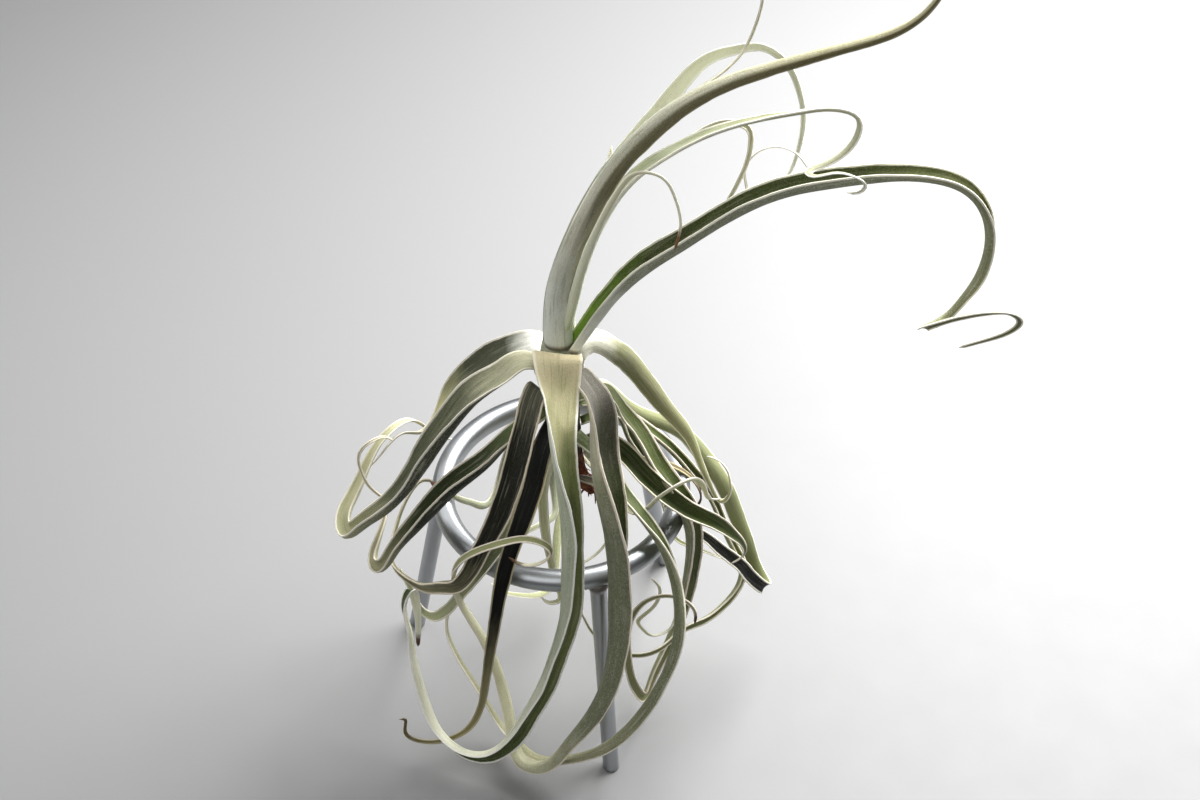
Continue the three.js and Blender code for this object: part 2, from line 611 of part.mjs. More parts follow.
/**
 * Closed ring of points round a leaf at one station: its upper face from edge to edge, then its
 * underside back. The section is an arc, hollow above where roll is positive.
 */
function leafSection(station, span, roll, twist, columns, clasp) {
  const rib = Math.max(Math.min(LEAF_RIB, LEAF_SLENDERNESS * span), LEAF_MARGIN + 0.1);
  const normal = station.normal.clone().applyAxisAngle(station.tangent, twist);
  const side = new THREE.Vector3().crossVectors(station.tangent, normal);
  const bend = Math.abs(roll) < 0.05 ? 0.05 : roll;
  const radius = (Math.sign(bend) * span) / 2 / Math.sin(Math.min(Math.abs(bend), Math.PI) / 2);
  const middle = radius * (1 - Math.cos(bend / 4));
  const upper = [];
  const under = [];
  for (let k = 0; k < columns; k++) {
    const place = -1 + (2 * k) / (columns - 1);
    const angle = (place * bend) / 2;
    const half = (LEAF_MARGIN + (rib - LEAF_MARGIN) * (1 - place * place)) / 2;
    for (const [face, offset] of [[upper, half], [under, -half]]) {
      const across = radius * Math.sin(angle) - offset * Math.sin(angle);
      const rise = radius * (1 - Math.cos(angle)) - middle + offset * Math.cos(angle);
      const swept = station.point.clone().addScaledVector(side, across)
        .addScaledVector(normal, rise);
      if (clasp.share > 0) {
        swept.lerp(clasp.wrap(station.point, normal, side, radius * angle, offset), clasp.share);
      }
      face.push(swept);
    }
  }
  return [...upper, ...under.reverse()];
}

/** How a leaf's base bends round the stem, fading out over the collar's length. */
function claspAt(stem, distance, length) {
  const share = 1 - THREE.MathUtils.smoothstep(distance, 0, length);
  const wrap = (point, normal, side, arc, offset) => {
    const spoke = new THREE.Vector3(point.x - stem.x, point.y - stem.y, 0);
    const turn = Math.sign(new THREE.Vector3().crossVectors(spoke, side).z)
      * (arc / Math.max(spoke.length(), stem.radius));
    return point.clone().addScaledVector(normal, offset)
      .sub(stem.middle).applyAxisAngle(UP, turn).add(stem.middle);
  };
  return { share, wrap };
}

/** A leaf that grows from the stem's side: its first point is moved out to its seat there. */
function sideLeafGeometry({ route, spans, rolls, twists = NO_TWIST }) {
  const points = route.map((xyz) => new THREE.Vector3(...xyz));
  const stem = stemAt(points[0].z);
  stem.middle = new THREE.Vector3(stem.x, stem.y, 0);
  const spoke = points[0].clone().sub(stem.middle).setZ(0).normalize();
  const rise = Math.abs(points[1].clone().sub(points[0]).normalize().z);
  const halfRib = Math.min(LEAF_RIB, LEAF_SLENDERNESS * spans[0]) / 2;
  const base = stem.radius + 1.4 * SEAT_GAP + rise * halfRib;
  points[0] = spoke.multiplyScalar(base).add(stem.middle).setZ(points[0].z);
  const facing = points[1].z > points[0].z + 2
    ? points[0].clone().sub(stem.middle).setZ(0).negate() : UP;
  return leafGeometry(points, facing, { spans, rolls, twists },
    (distance) => claspAt(stem, distance, COLLAR_REACH * spans[0]));
}

/** A leaf of the upright tuft: it stands on the stem's top and faces the given way. */
function topLeafGeometry({ route, spans, rolls, twists = NO_TWIST, faces }) {
  const points = route.map((xyz) => new THREE.Vector3(...xyz));
  const seat = STEM_PROFILE[0][2] + SEAT_GAP;
  points[0].z = seat;
  const geometry = leafGeometry(points, around(1, faces, 0), { spans, rolls, twists },
    () => ({ share: 0 }));
  const position = geometry.attributes.position;
  for (let i = 0; i < position.count; i++) {
    position.setZ(i, Math.max(position.getZ(i), seat));
  }
  return geometry;
}

/** Closed solid of one leaf along its route. */
function leafGeometry(points, facing, { spans, rolls, twists }, clasp) {
  const spine = leafSpine(points, facing);
  const length = spine[spine.length - 1].distance;
  const columns = Math.max(...spans) >= BROAD_SPAN ? 4 : 3;
  const rings = leafStations(spine).map((station) => {
    const t = station.distance / length;
    return leafSection(station, along(spans, t), radians(along(rolls, t)),
      radians(along(twists, t)), columns, clasp(station.distance));
  });
  const caps = [];
  for (let k = 0; k < columns - 1; k++) {
    const opposite = 2 * columns - 1 - k;
    caps.push([k, k + 1, opposite], [k + 1, opposite - 1, opposite]);
  }
  return ringedGeometry(rings, caps);
}

// ---------------------------------------------------------------------------------------------
// Assembly
// ---------------------------------------------------------------------------------------------

const plant = new THREE.Group();
plant.name = 'air_plant';

/** Adds one named piece to the plant. */
function addPiece(name, geometry, { color, roughness, metalness = 0 }) {
  geometry.computeVertexNormals();
  const material = new THREE.MeshStandardMaterial({ color, roughness, metalness });
  const mesh = new THREE.Mesh(geometry, material);
  mesh.name = name;
  plant.add(mesh);
}

addPiece('stand_ring', ringGeometry(RING_ROD_RADIUS), METAL);
for (const [place, degrees] of Object.entries(LEGS)) {
  addPiece(`stand_leg_${place}`, legGeometry(degrees), METAL);
}
addPiece('stem', stemGeometry(), DRY_STEM);
for (const [name, leaf] of Object.entries({ ...COLLAR_LEAVES, ...SIDE_LEAVES })) {
  addPiece(name, sideLeafGeometry(leaf), leaf.colour);
}
for (const [name, leaf] of Object.entries(TUFT_LEAVES)) {
  addPiece(name, topLeafGeometry(leaf), leaf.colour);
}

// the origin is the middle of the bounding box's underside
const box = new THREE.Box3().setFromObject(plant);
const middle = box.getCenter(new THREE.Vector3());
for (const mesh of plant.children) {
  mesh.geometry.translate(-middle.x, -middle.y, -box.min.z);
}

export default plant;
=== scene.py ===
"""Air plant resting in a three-legged ring stand, dressed round its solids.

Lengths are written in millimetres about the ring's upright axis, with z = 0 on the floor, and are
turned into metres in the row's frame when a mesh, the camera or a light is made.
"""

from __future__ import annotations

import logging
import math
from dataclasses import dataclass, field
from enum import Enum
from functools import cached_property
from typing import Sequence

import bpy
import numpy as np
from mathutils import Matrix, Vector

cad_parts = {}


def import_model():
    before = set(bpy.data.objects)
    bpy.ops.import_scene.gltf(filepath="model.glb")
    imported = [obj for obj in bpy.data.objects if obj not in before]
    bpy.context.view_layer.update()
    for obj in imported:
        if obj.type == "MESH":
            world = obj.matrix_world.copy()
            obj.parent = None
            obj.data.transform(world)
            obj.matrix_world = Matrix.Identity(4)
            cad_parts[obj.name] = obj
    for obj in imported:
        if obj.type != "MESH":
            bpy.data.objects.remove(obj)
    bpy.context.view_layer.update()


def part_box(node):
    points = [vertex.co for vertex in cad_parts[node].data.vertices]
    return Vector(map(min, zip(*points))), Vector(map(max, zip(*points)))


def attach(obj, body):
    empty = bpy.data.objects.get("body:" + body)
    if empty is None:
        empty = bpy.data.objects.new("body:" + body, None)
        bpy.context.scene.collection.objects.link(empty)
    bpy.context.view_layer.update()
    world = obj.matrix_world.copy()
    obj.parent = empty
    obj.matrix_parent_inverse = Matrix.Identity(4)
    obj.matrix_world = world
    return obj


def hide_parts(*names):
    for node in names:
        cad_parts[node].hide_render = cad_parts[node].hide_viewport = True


LOG = logging.getLogger("air_plant")
MM = 0.001
FULL_TURN = 2 * math.pi

Point = tuple[float, float, float]
Colour = tuple[float, float, float, float]
Limits = tuple[float, float]
Values = Sequence[float]
Numbers = np.ndarray | float


# Leaf plans -----------------------------------------------------------------------------------


class Growth(Enum):
    """Where on the stem a leaf grows."""

    COLLAR = "collar"
    SIDE = "side"
    TUFT = "tuft"


class Roll(Enum):
    """How far a leaf's section is rolled from base to tip, in degrees, hollow side up."""

    BROAD = (-80, 45, 95, 115, 125, 125, 115, 90, 60)
    ARCHED = (-80, -85, -100, -110, -115, -110, -110, -100, -60)
    DEEP = (-35, 120, 185, 200, 200, 170, 120, 90, 60)
    CHANNEL = (-35, 80, 120, 130, 125, 115, 100, 80, 60)
    UPRIGHT = (135, 135, 125, 125, 115, 115, 90, 80, 60)
    TUBE = (165, 165, 170, 170, 160, 140, 120, 90, 60)
    FOLD = (-80, 125, 195, 205, 200, 180, 130, 90, 60)
    GUTTER = (60, 190, 205, 205, 200, 180, 130, 90, 60)
    TRAY = (200, 200, 200, 195, 185, 160, 120, 90, 60)


class Coat(Enum):
    """The material slot that a leaf takes its finish from."""

    OLIVE = "leaf_olive"
    SILVER = "leaf_silver"
    DARK_GREEN = "leaf_dark_green"
    BRIGHT_GREEN = "leaf_bright_green"
    PALE = "leaf_pale"
    BROWN = "leaf_brown"


@dataclass(frozen=True)
class LeafPlan:
    """One leaf: its spans and route at even steps from base to tip, in millimetres.

    twists turn the section about the leaf's length, in degrees. dry is the share of the length, at
    the tip, that has withered. faces is the way, in degrees, that the hollow side of a tuft leaf
    looks.
    """

    name: str
    growth: Growth
    coat: Coat
    roll: Roll
    spans: tuple[float, ...]
    route: tuple[Point, ...]
    twists: tuple[float, ...] = (0.0, 0.0)
    dry: float = 0.0
    faces: float = 0.0


LEAVES: tuple[LeafPlan, ...] = (
    LeafPlan(
        "leaf_front", Growth.COLLAR, Coat.OLIVE, Roll.FOLD,
        (23, 15, 11.6, 9.4, 7.8, 6.8, 6.6, 4.8, 1.6),
        (
            (0, -8.5, 189.5), (0, -10.3, 198.7), (0, -14.6, 202.8), (0, -22, 196), (0, -38, 187),
            (2, -47, 167), (4, -53, 144), (4, -58, 122), (3, -61, 100), (-2, -64, 77), (-7, -67, 60),
            (-14, -70, 44), (-23, -72, 26), (-31, -72, 18), (-39, -70, 15), (-47, -66, 16), (-54, -60, 21),
            (-59, -53, 33), (-63, -45, 49), (-65, -39, 66), (-66, -36, 77), (-64, -34, 82), (-62, -31, 69),
            (-62, -30, 52), (-63, -29, 38),
        ),
        twists=(0, -48, -72, -48, -32, -10, -45, -20, 0), dry=0.05,
    ),
    LeafPlan(
        "leaf_front_right", Growth.COLLAR, Coat.SILVER, Roll.GUTTER,
        (12, 15, 12.4, 8.6, 6.3, 5.3, 4.6, 4, 2),
        (
            (5, -7, 183), (7, -9.5, 188), (9.5, -14, 189), (14, -21, 187), (16, -32, 168), (19, -45, 153),
            (22, -52, 134), (23, -58, 113), (23, -64, 94), (20, -72, 72), (12, -76, 50), (3, -77, 33),
            (-4, -77, 20), (-11, -75, 14), (-17, -71, 13), (-20, -65, 16), (-22, -57, 24), (-25, -50, 37),
            (-30, -46, 57), (-38, -44, 78), (-43, -47, 99), (-42, -51, 118), (-32.5, -56.5, 135),
            (-20, -59, 144), (-9, -61, 147), (-3, -62, 142), (-7, -62, 135), (-15, -61, 133),
            (-20, -60, 136),
        ),
        twists=(-20, -42, -74, -70, -32, -4, 8, -14, 0), dry=0.03,
    ),
    LeafPlan(
        "leaf_left", Growth.COLLAR, Coat.OLIVE, Roll.DEEP,
        (11, 13.5, 12.5, 9.5, 7.2, 5.6, 3.8, 2.6, 1.3),
        (
            (-8, -2.5, 182), (-10, -3, 188.8), (-15, -4.5, 190.5), (-22, -8, 187), (-31, -12, 182),
            (-43, -16, 168), (-54, -19, 150), (-63, -20, 133), (-73, -21, 120), (-83, -20, 109),
            (-90, -17, 102), (-91, -13, 104), (-88, -6, 109), (-82, 2, 119), (-76, 9, 128), (-68, 16, 132),
            (-62, 24, 125), (-54, 31, 109), (-45, 35, 101), (-34, 38, 99),
        ),
        twists=(0, 5, 13, 15, 20, 0, 0, 0, 0),
    ),
    LeafPlan(
        "leaf_right", Growth.COLLAR, Coat.OLIVE, Roll.ARCHED,
        (11, 9.5, 9, 8, 6.2, 3.6, 2.2, 1.6, 1),
        (
            (6.5, 5, 181), (8, 6, 187.5), (13, 7.5, 190.5), (22, 7, 186), (29, 12, 173), (37, 13, 158),
            (46, 13, 142), (54, 12, 129), (59, 9, 116), (64, 7, 102), (69, 6, 94), (72, 6, 99),
            (72, 8, 105), (70, 11, 110), (66, 13, 113), (62, 15, 113),
        ),
        twists=(0, 10, 25, 30, 30, 30, 20, 0, 0),
    ),
    LeafPlan(
        "leaf_back_left", Growth.COLLAR, Coat.PALE, Roll.BROAD,
        (9.5, 13.5, 14.5, 12.5, 10, 6.5, 3, 2, 1),
        (
            (-5, 7, 184), (-6.5, 8.4, 186.5), (-11, 12, 184.5), (-23, 16, 174), (-32, 20.5, 163),
            (-41, 24.5, 150), (-48, 27, 137), (-52, 26, 127), (-57, 23, 121), (-62, 18, 124),
            (-67, 14, 128), (-72, 9, 127), (-78, 6, 120), (-83, 4, 116),
        ),
        twists=(0, -10, -20, -20, -20, -20, -10, 0, 0),
    ),
    LeafPlan(
        "leaf_back", Growth.COLLAR, Coat.OLIVE, Roll.BROAD,
        (9, 11, 10, 8, 6.4, 5, 4, 3, 1.4),
        (
            (1, 8.5, 173.5), (1, 10.5, 178.5), (2, 16, 180), (4, 32, 168), (5, 50, 138), (5, 60, 108),
            (4, 60, 80), (1, 48, 53), (-3, 30, 38), (-8, 12, 25), (-19, 6, 30), (-27, 4, 35), (-32, 4, 41),
        ),
    ),
    LeafPlan(
        "leaf_right_hoop", Growth.SIDE, Coat.SILVER, Roll.DEEP,
        (6.5, 6.8, 6.6, 6.4, 6, 5.6, 5, 4.2, 2),
        (
            (6, -6, 150), (18, -12, 140), (25, -19, 131), (34, -29, 124), (42, -37, 115), (47, -45, 104),
            (49, -57, 92), (46, -66, 77), (39, -73, 62), (30, -77, 47), (18, -79, 33), (7, -76, 22),
            (-2, -72, 14), (-12, -67, 10), (-19, -60, 10), (-25, -53, 10), (-34, -45, 22), (-43, -37, 35),
            (-49, -30, 46), (-49, -27, 57), (-46, -24, 62), (-39, -21, 70), (-33, -18, 75),
        ),
        twists=(0, -5, -45, -40, -30, 0, 20, 15, 0),
    ),
    LeafPlan(
        "leaf_left_channel", Growth.SIDE, Coat.DARK_GREEN, Roll.DEEP,
        (8, 10, 11, 9, 6, 4.4, 2, 1.4, 1),
        (
            (-7, -5, 163), (-12, -10, 162), (-19, -15, 159), (-30, -22, 150), (-40, -26, 143),
            (-50, -29, 133), (-60, -31, 120), (-69, -32, 106), (-76, -31, 95), (-78, -28, 94),
            (-77, -22, 99), (-74, -14, 105), (-74, -7, 109), (-79, -5, 114), (-83, -3, 122), (-84, 0, 130),
            (-79, 2, 136), (-74, 5, 136), (-70, 8, 130),
        ),
        twists=(0, 25, 28, 25, 15, 0, 0, 0, 0),
    ),
    LeafPlan(
        "leaf_front_left", Growth.SIDE, Coat.DARK_GREEN, Roll.DEEP,
        (9, 9.4, 9, 7.4, 5.8, 4.6, 3.8, 2.6, 1.4),
        (
            (-5, -7.5, 170), (-9, -15, 184), (-13, -25, 176), (-16, -34, 168), (-20, -42, 156),
            (-25, -47, 143), (-32, -51, 128), (-37, -54, 118), (-41, -55, 113), (-46, -52, 108),
            (-56, -42, 95), (-66, -29, 86), (-72, -18, 83), (-72, -7, 84), (-69, 4, 89), (-64, 13, 94),
            (-60, 18, 94), (-56, 20, 91),
        ),
        twists=(0, -10, -10, -5, 0, 0, 0, 0, 0),
    ),
    LeafPlan(
        "leaf_left_hook", Growth.SIDE, Coat.SILVER, Roll.CHANNEL,
        (5, 5.4, 5.4, 5.2, 5, 4.8, 4.6, 4, 2),
        (
            (-5, -6, 142), (-12, -18, 131), (-19, -32, 122.5), (-26, -42, 117), (-32, -46, 110),
            (-39, -42, 94), (-45, -39, 80), (-50, -35, 69), (-56, -31, 62), (-61, -26, 62), (-64, -21, 66),
            (-68, -15, 69), (-70, -11, 70),
        ),
    ),
    LeafPlan(
        "leaf_dark", Growth.SIDE, Coat.DARK_GREEN, Roll.DEEP,
        (8, 8.6, 7, 5, 4, 3.2, 2.6, 1.9, 1),
        (
            (-3, -8, 157), (-7, -18, 153), (-10, -27, 145), (-14, -37, 137), (-19, -47, 128),
            (-23, -56, 117), (-26, -61, 100), (-29, -62, 78), (-32, -60, 51), (-36, -59, 29),
            (-44, -59, 15), (-53, -60, 11), (-62, -60, 11), (-68, -60, 18), (-68, -60, 27), (-70, -61, 28),
        ),
        twists=(0, -15, -20, -20, -20, -10, 0, 0, 0), dry=0.16,
    ),
    LeafPlan(
        "leaf_right_outer", Growth.SIDE, Coat.SILVER, Roll.ARCHED,
        (6, 6, 6.2, 7, 7, 6.4, 6, 5.4, 3.2),
        (
            (6, 6, 160), (14, 13.5, 157.5), (28, 25.5, 132.5), (38, 28, 123), (51, 28, 115), (61, 25, 103),
            (70, 20, 90), (76, 17, 74), (82, 13, 56), (88, 9, 39), (90, 6, 37), (86, 2, 44), (77, -2, 62),
            (67, -5, 77), (58, -6, 88), (52, -6, 91),
        ),
        twists=(0, 80, 75, 85, 95, 100, 130, 135, 135),
    ),
    LeafPlan(
        "leaf_right_mid", Growth.SIDE, Coat.DARK_GREEN, Roll.DEEP,
        (7, 9, 9, 7.6, 6, 4.6, 3.6, 2.6, 1),
        (
            (8, -2, 168), (19, 1.5, 167.5), (25, 2, 156), (32, 0, 145), (37, -5, 137), (43, -10, 128),
            (51, -17, 118), (55, -18, 100), (55, -14, 72), (53, -13, 50), (49, -16, 33), (44, -23, 24),
            (39, -30, 15), (36, -35, 10), (33, -38, 17), (29, -40, 37), (28, -40, 54), (30, -38, 70),
            (36, -35, 77), (45, -33, 78), (53, -33, 74), (57, -34, 68), (57, -35, 61),
        ),
        twists=(0, 28, 25, 46, 54, 50, 0, 0, 0), dry=0.04,
    ),
    LeafPlan(
        "leaf_right_low", Growth.SIDE, Coat.DARK_GREEN, Roll.DEEP,
        (7, 7.4, 7.6, 7.4, 6.4, 5, 3.4, 2, 1.1),
        (
            (8, -3, 142), (21, -1.5, 139.5), (32, -10, 134), (42, -16.5, 126.5), (53, -24, 123),
            (63, -25, 117), (71, -22, 106), (77, -18, 93), (77, -12, 78), (73, -8, 69),
        ),
        twists=(0, 40, 40, 40, 40, 40, 40, 60, 60),
    ),
    LeafPlan(
        "leaf_right_long", Growth.SIDE, Coat.OLIVE, Roll.DEEP,
        (6, 5.4, 5, 4.4, 4.1, 4, 3.4, 2.4, 1.2),
        (
            (7, 4, 158), (21, 14, 146), (33, 16.5, 131.5), (44, 11, 125), (55, 7, 112), (63, 8, 97),
            (69, 7, 80), (75, 6, 63), (79, 4, 52), (78, 1, 44), (71, -6, 38), (62, -13, 36), (53, -19, 37),
            (44, -26, 34), (37, -30, 34), (30, -32, 36), (22, -32, 40), (15, -30, 46), (10, -26, 53),
            (7, -22, 59), (4, -18, 65),
        ),
        twists=(0, 27, 30, 41, 38, 60, 60, 40, 0),
    ),
    LeafPlan(
        "leaf_right_slim", Growth.SIDE, Coat.SILVER, Roll.DEEP,
        (5, 4.6, 4.2, 3.8, 3.2, 2.8, 2.4, 2, 1),
        (
            (8, 1, 150), (21, 5, 151), (28, 8, 135), (34, 8, 121), (40, 7, 108), (43, 5, 96), (46, 3, 84),
            (50, 1, 74), (58, 0, 70), (65, -1, 67), (72, -2, 64),
        ),
        twists=(0, 9, 39, 30, 39, 42, 39, 30, 0),
    ),
    LeafPlan(
        "leaf_right_cream", Growth.SIDE, Coat.PALE, Roll.CHANNEL,
        (4, 3.8, 3.6, 3.2, 2.8, 2.4, 2, 1.5, 1),
        (
            (8, 0.5, 133), (24, -5, 115), (34, -10, 102), (42, -14, 87), (47, -18, 71), (49, -22, 56),
            (46, -25, 44), (40, -27, 43), (35, -28, 49), (33, -29, 56), (37, -29, 62), (41, -28, 68),
            (42, -26, 74), (38, -24, 79),
        ),
    ),
    LeafPlan(
        "leaf_brown_curl", Growth.SIDE, Coat.BROWN, Roll.CHANNEL,
        (3, 4, 4.4, 4.4, 4, 3.6, 3, 2.2, 1),
        (
            (8, 0, 136), (26, 3.5, 126.5), (32, 2, 125), (42, 0, 125), (51, -1, 121), (57, -3, 115),
            (59, -5, 108), (56, -5, 102),
        ),
        dry=0.5,
    ),
    LeafPlan(
        "leaf_strap", Growth.SIDE, Coat.PALE, Roll.CHANNEL,
        (4, 3.8, 3.6, 3.4, 3.2, 3, 2.4, 1.6, 1),
        (
            (7, -5, 121), (24, -12, 117), (30, -16.5, 113), (35, -21, 119), (41, -24, 131), (48, -24, 138),
            (54, -19, 136), (60, -13, 123), (64, -7, 110), (68, -4, 107),
        ),
    ),
    LeafPlan(
        "leaf_back_left_low", Growth.SIDE, Coat.SILVER, Roll.CHANNEL,
        (6, 6, 5.6, 4.8, 4, 3.2, 2.8, 2.4, 1.6),
        (
            (-7, 5, 160), (-15, 14, 133), (-23, 16.5, 111.5), (-27, 12, 99), (-31, 4, 95), (-37, -3, 103),
            (-44, -9, 114), (-50, -7, 117), (-55, -3, 117),
        ),
        dry=0.2,
    ),
    LeafPlan(
        "leaf_inner", Growth.SIDE, Coat.PALE, Roll.CHANNEL,
        (5, 5, 5, 4.6, 4.2, 3.6, 2.6, 2, 1),
        (
            (-6, -3, 132), (-6, -7, 126), (-7, -9, 109), (-6, -14, 95), (-4, -19, 83), (-2, -23, 73),
            (-1, -26, 66), (-5, -28, 67), (-9, -29, 73),
        ),
    ),
    LeafPlan(
        "leaf_inner_left", Growth.SIDE, Coat.SILVER, Roll.CHANNEL,
        (4.5, 4.4, 4, 3.6, 3.2, 2.8, 2.4, 2, 1.2),
        ((-4, 8, 140), (-3, 10, 93), (-3, 4, 88), (-9, -2, 88), (-17, -8, 88), (-21, -10, 84)),
    ),
    LeafPlan(
        "leaf_inner_right", Growth.SIDE, Coat.PALE, Roll.CHANNEL,
        (4.5, 4.4, 4, 3.6, 3.2, 2.8, 2.4, 2, 1.2),
        ((9, 3, 124), (20, 3, 105), (21, 0, 92), (20, -6, 84), (14, -10, 77), (7, -14, 75), (2, -18, 76)),
    ),
    LeafPlan(
        "upper_rolled", Growth.TUFT, Coat.SILVER, Roll.TUBE,
        (11.5, 9.2, 8.6, 7.8, 6, 4.4, 3.2, 2.2, 1),
        (
            (-0.8, -2.6, 196), (-0.5, 2.5, 222.5), (4, 3, 241.5), (11, 4, 261), (21, 6, 282), (34, 8, 299),
            (49, 10, 312), (65, 12, 320), (82, 13, 326), (99, 13, 332), (114, 12, 338), (127, 10, 347),
            (135, 8, 360), (138, 4, 380), (135, 0, 402), (128, -6, 418),
        ),
        twists=(45, 25, 0, 0, 0, 0, 0, 0, 0), faces=30,
    ),
    LeafPlan(
        "upper_pale", Growth.TUFT, Coat.PALE, Roll.UPRIGHT,
        (5, 6.8, 7.4, 7.6, 6.6, 4.4, 2.4, 1.8, 1),
        (
            (0.7, 4.8, 196.3), (1.7, 12.5, 224.5), (7, 15.5, 239.5), (16, 19, 261), (32, 24, 285),
            (47, 30, 304), (57, 31, 315), (67, 32, 318), (76, 32, 319), (84, 31, 314), (90, 30, 303),
            (93, 28, 290), (92, 25, 276), (89, 21, 268), (84, 16, 263),
        ),
        faces=-90,
    ),
    LeafPlan(
        "upper_slim", Growth.TUFT, Coat.SILVER, Roll.UPRIGHT,
        (3.4, 4.4, 4.4, 4, 3.4, 2.6, 1.9, 1.4, 1),
        (
            (-5.4, 3.1, 196.2), (-3.8, 7, 218.5), (3, 11.5, 241.5), (15, 16, 268), (31, 20, 289),
            (46, 22, 302), (58, 22, 312), (67, 21, 323), (72, 19, 338), (74, 17, 352), (72, 13, 365),
            (68, 8, 376),
        ),
        faces=-30,
    ),
    LeafPlan(
        "upper_arching", Growth.TUFT, Coat.SILVER, Roll.UPRIGHT,
        (6.4, 6.6, 7.2, 6.8, 5.6, 4.4, 3.4, 2.4, 1),
        (
            (3.4, 0.4, 196), (7, 3, 218), (12, 3, 241.5), (18, 3, 260), (28, 4, 278), (41, -1, 295),
            (56, -9, 312), (73, -12, 321), (89, -15, 327), (101, -18, 330), (107, -20, 328),
            (107, -22, 322), (101, -25, 315), (94, -28, 313), (90, -31, 313), (91, -34, 314),
            (99, -36, 317), (106, -36, 315), (110, -35, 310), (108, -34, 306), (104, -33, 305),
        ),
        twists=(60, 70, 70, 60, 50, 30, 0, 0, 0), faces=118,
    ),
    LeafPlan(
        "upper_curl", Growth.TUFT, Coat.PALE, Roll.UPRIGHT,
        (3.4, 3.4, 3.4, 3, 2.4, 1.8, 1.4, 1.2, 1),
        (
            (6, 3, 196), (6, 7.5, 216), (12, 8, 242), (21, 8, 265), (35, 9, 282), (51, 9, 295),
            (64, 9, 302), (71, 8, 300), (72, 6, 294), (70, 4, 284), (66, 3, 273), (64, 5, 262),
            (68, 9, 255), (72, 12, 262), (71, 13, 274), (75, 13, 284), (83, 12, 288), (90, 10, 286),
            (94, 8, 281),
        ),
        faces=-133,
    ),
    LeafPlan(
        "upper_brown_tip", Growth.TUFT, Coat.OLIVE, Roll.UPRIGHT,
        (3.6, 3.6, 3.4, 3, 2.4, 1.8, 1.5, 1.2, 1),
        (
            (0, -2, 196), (5, -1, 215.5), (10, -2.5, 241), (17, -4, 265), (25, -8, 287), (32, -13, 297),
            (39, -16, 297), (44, -19, 289), (46, -21, 279), (44, -23, 268),
        ),
        dry=0.12, faces=75,
    ),
    LeafPlan(
        "upper_channel", Growth.TUFT, Coat.BRIGHT_GREEN, Roll.TRAY,
        (7.5, 9, 8.8, 8.2, 6.8, 6.4, 4.6, 3, 1.4),
        (
            (6, -3, 196), (10, -2, 203), (19, -6, 224), (32, -9, 245), (48, -12, 262), (66, -15, 280),
            (84, -18, 293), (101, -21, 300), (118, -24, 305), (134, -27, 307), (147, -29, 303),
            (155, -30, 292), (158, -29, 278), (157, -26, 258), (152, -22, 240), (146, -22, 231),
            (140, -25, 230), (139, -30, 235), (147, -36, 245), (158, -42, 254), (166, -45, 257),
            (171, -43, 251), (168, -40, 242), (161, -37, 235), (152, -34, 228),
        ),
        twists=(8, 2, -2, -8, -12, -6, 0, 0, 0), faces=180,
    ),
    LeafPlan(
        "upper_short", Growth.TUFT, Coat.SILVER, Roll.UPRIGHT,
        (3, 3, 3, 2.8, 2.4, 2, 1.6, 1.3, 1),
        ((-1, 7, 196), (1, 16.5, 220.5), (8, 22, 239), (16, 27, 258), (20, 30, 267), (21, 30, 273)),
        faces=-90,
    ),
)


# Curves ---------------------------------------------------------------------------------------


def unit(vectors: np.ndarray) -> np.ndarray:
    """Vectors scaled to length 1 along their last axis."""
    return vectors / np.linalg.norm(vectors, axis=-1, keepdims=True)


def smoothstep(values: np.ndarray, low: float, high: float) -> np.ndarray:
    """Smooth rise from 0 at low to 1 at high."""
    share = np.clip((values - low) / (high - low), 0.0, 1.0)
    return share * share * (3.0 - 2.0 * share)


def around_axis(middle: np.ndarray, reach: Numbers, turn: Numbers, height: Numbers) -> np.ndarray:
    """Points about an upright axis.

    Args:
        middle: where the axis stands.
        reach: distances from it.
        turn: angles round it, in radians.
        height: heights above the floor.

    Returns:
        The points, along the last axis.
    """
    x = middle[..., 0] + reach * np.cos(turn)
    y = middle[..., 1] + reach * np.sin(turn)
    return np.stack(np.broadcast_arrays(x, y, height), axis=-1)


def along(values: Values, fraction: np.ndarray) -> np.ndarray:
    """Catmull-Rom values of an evenly spaced list.

    Args:
        values: the list, from base to tip.
        fraction: places from 0 at the base to 1 at the tip.

    Returns:
        One value for each place.
    """
    listed = np.asarray(values, dtype=float)
    place = fraction * (len(listed) - 1)
    index = np.minimum(place.astype(int), len(listed) - 2)
    share = place - index
    padded = np.concatenate([[2 * listed[0] - listed[1]], listed, [2 * listed[-1] - listed[-2]]])
    before, here, after, beyond = (padded[index + k] for k in range(4))
    slope_in = (after - before) / 2
    slope_out = (beyond - here) / 2
    bend = 3 * (after - here) - 2 * slope_in - slope_out
    return here + share * (slope_in + share * (bend + share * (2 * (here - after) + slope_in + slope_out)))


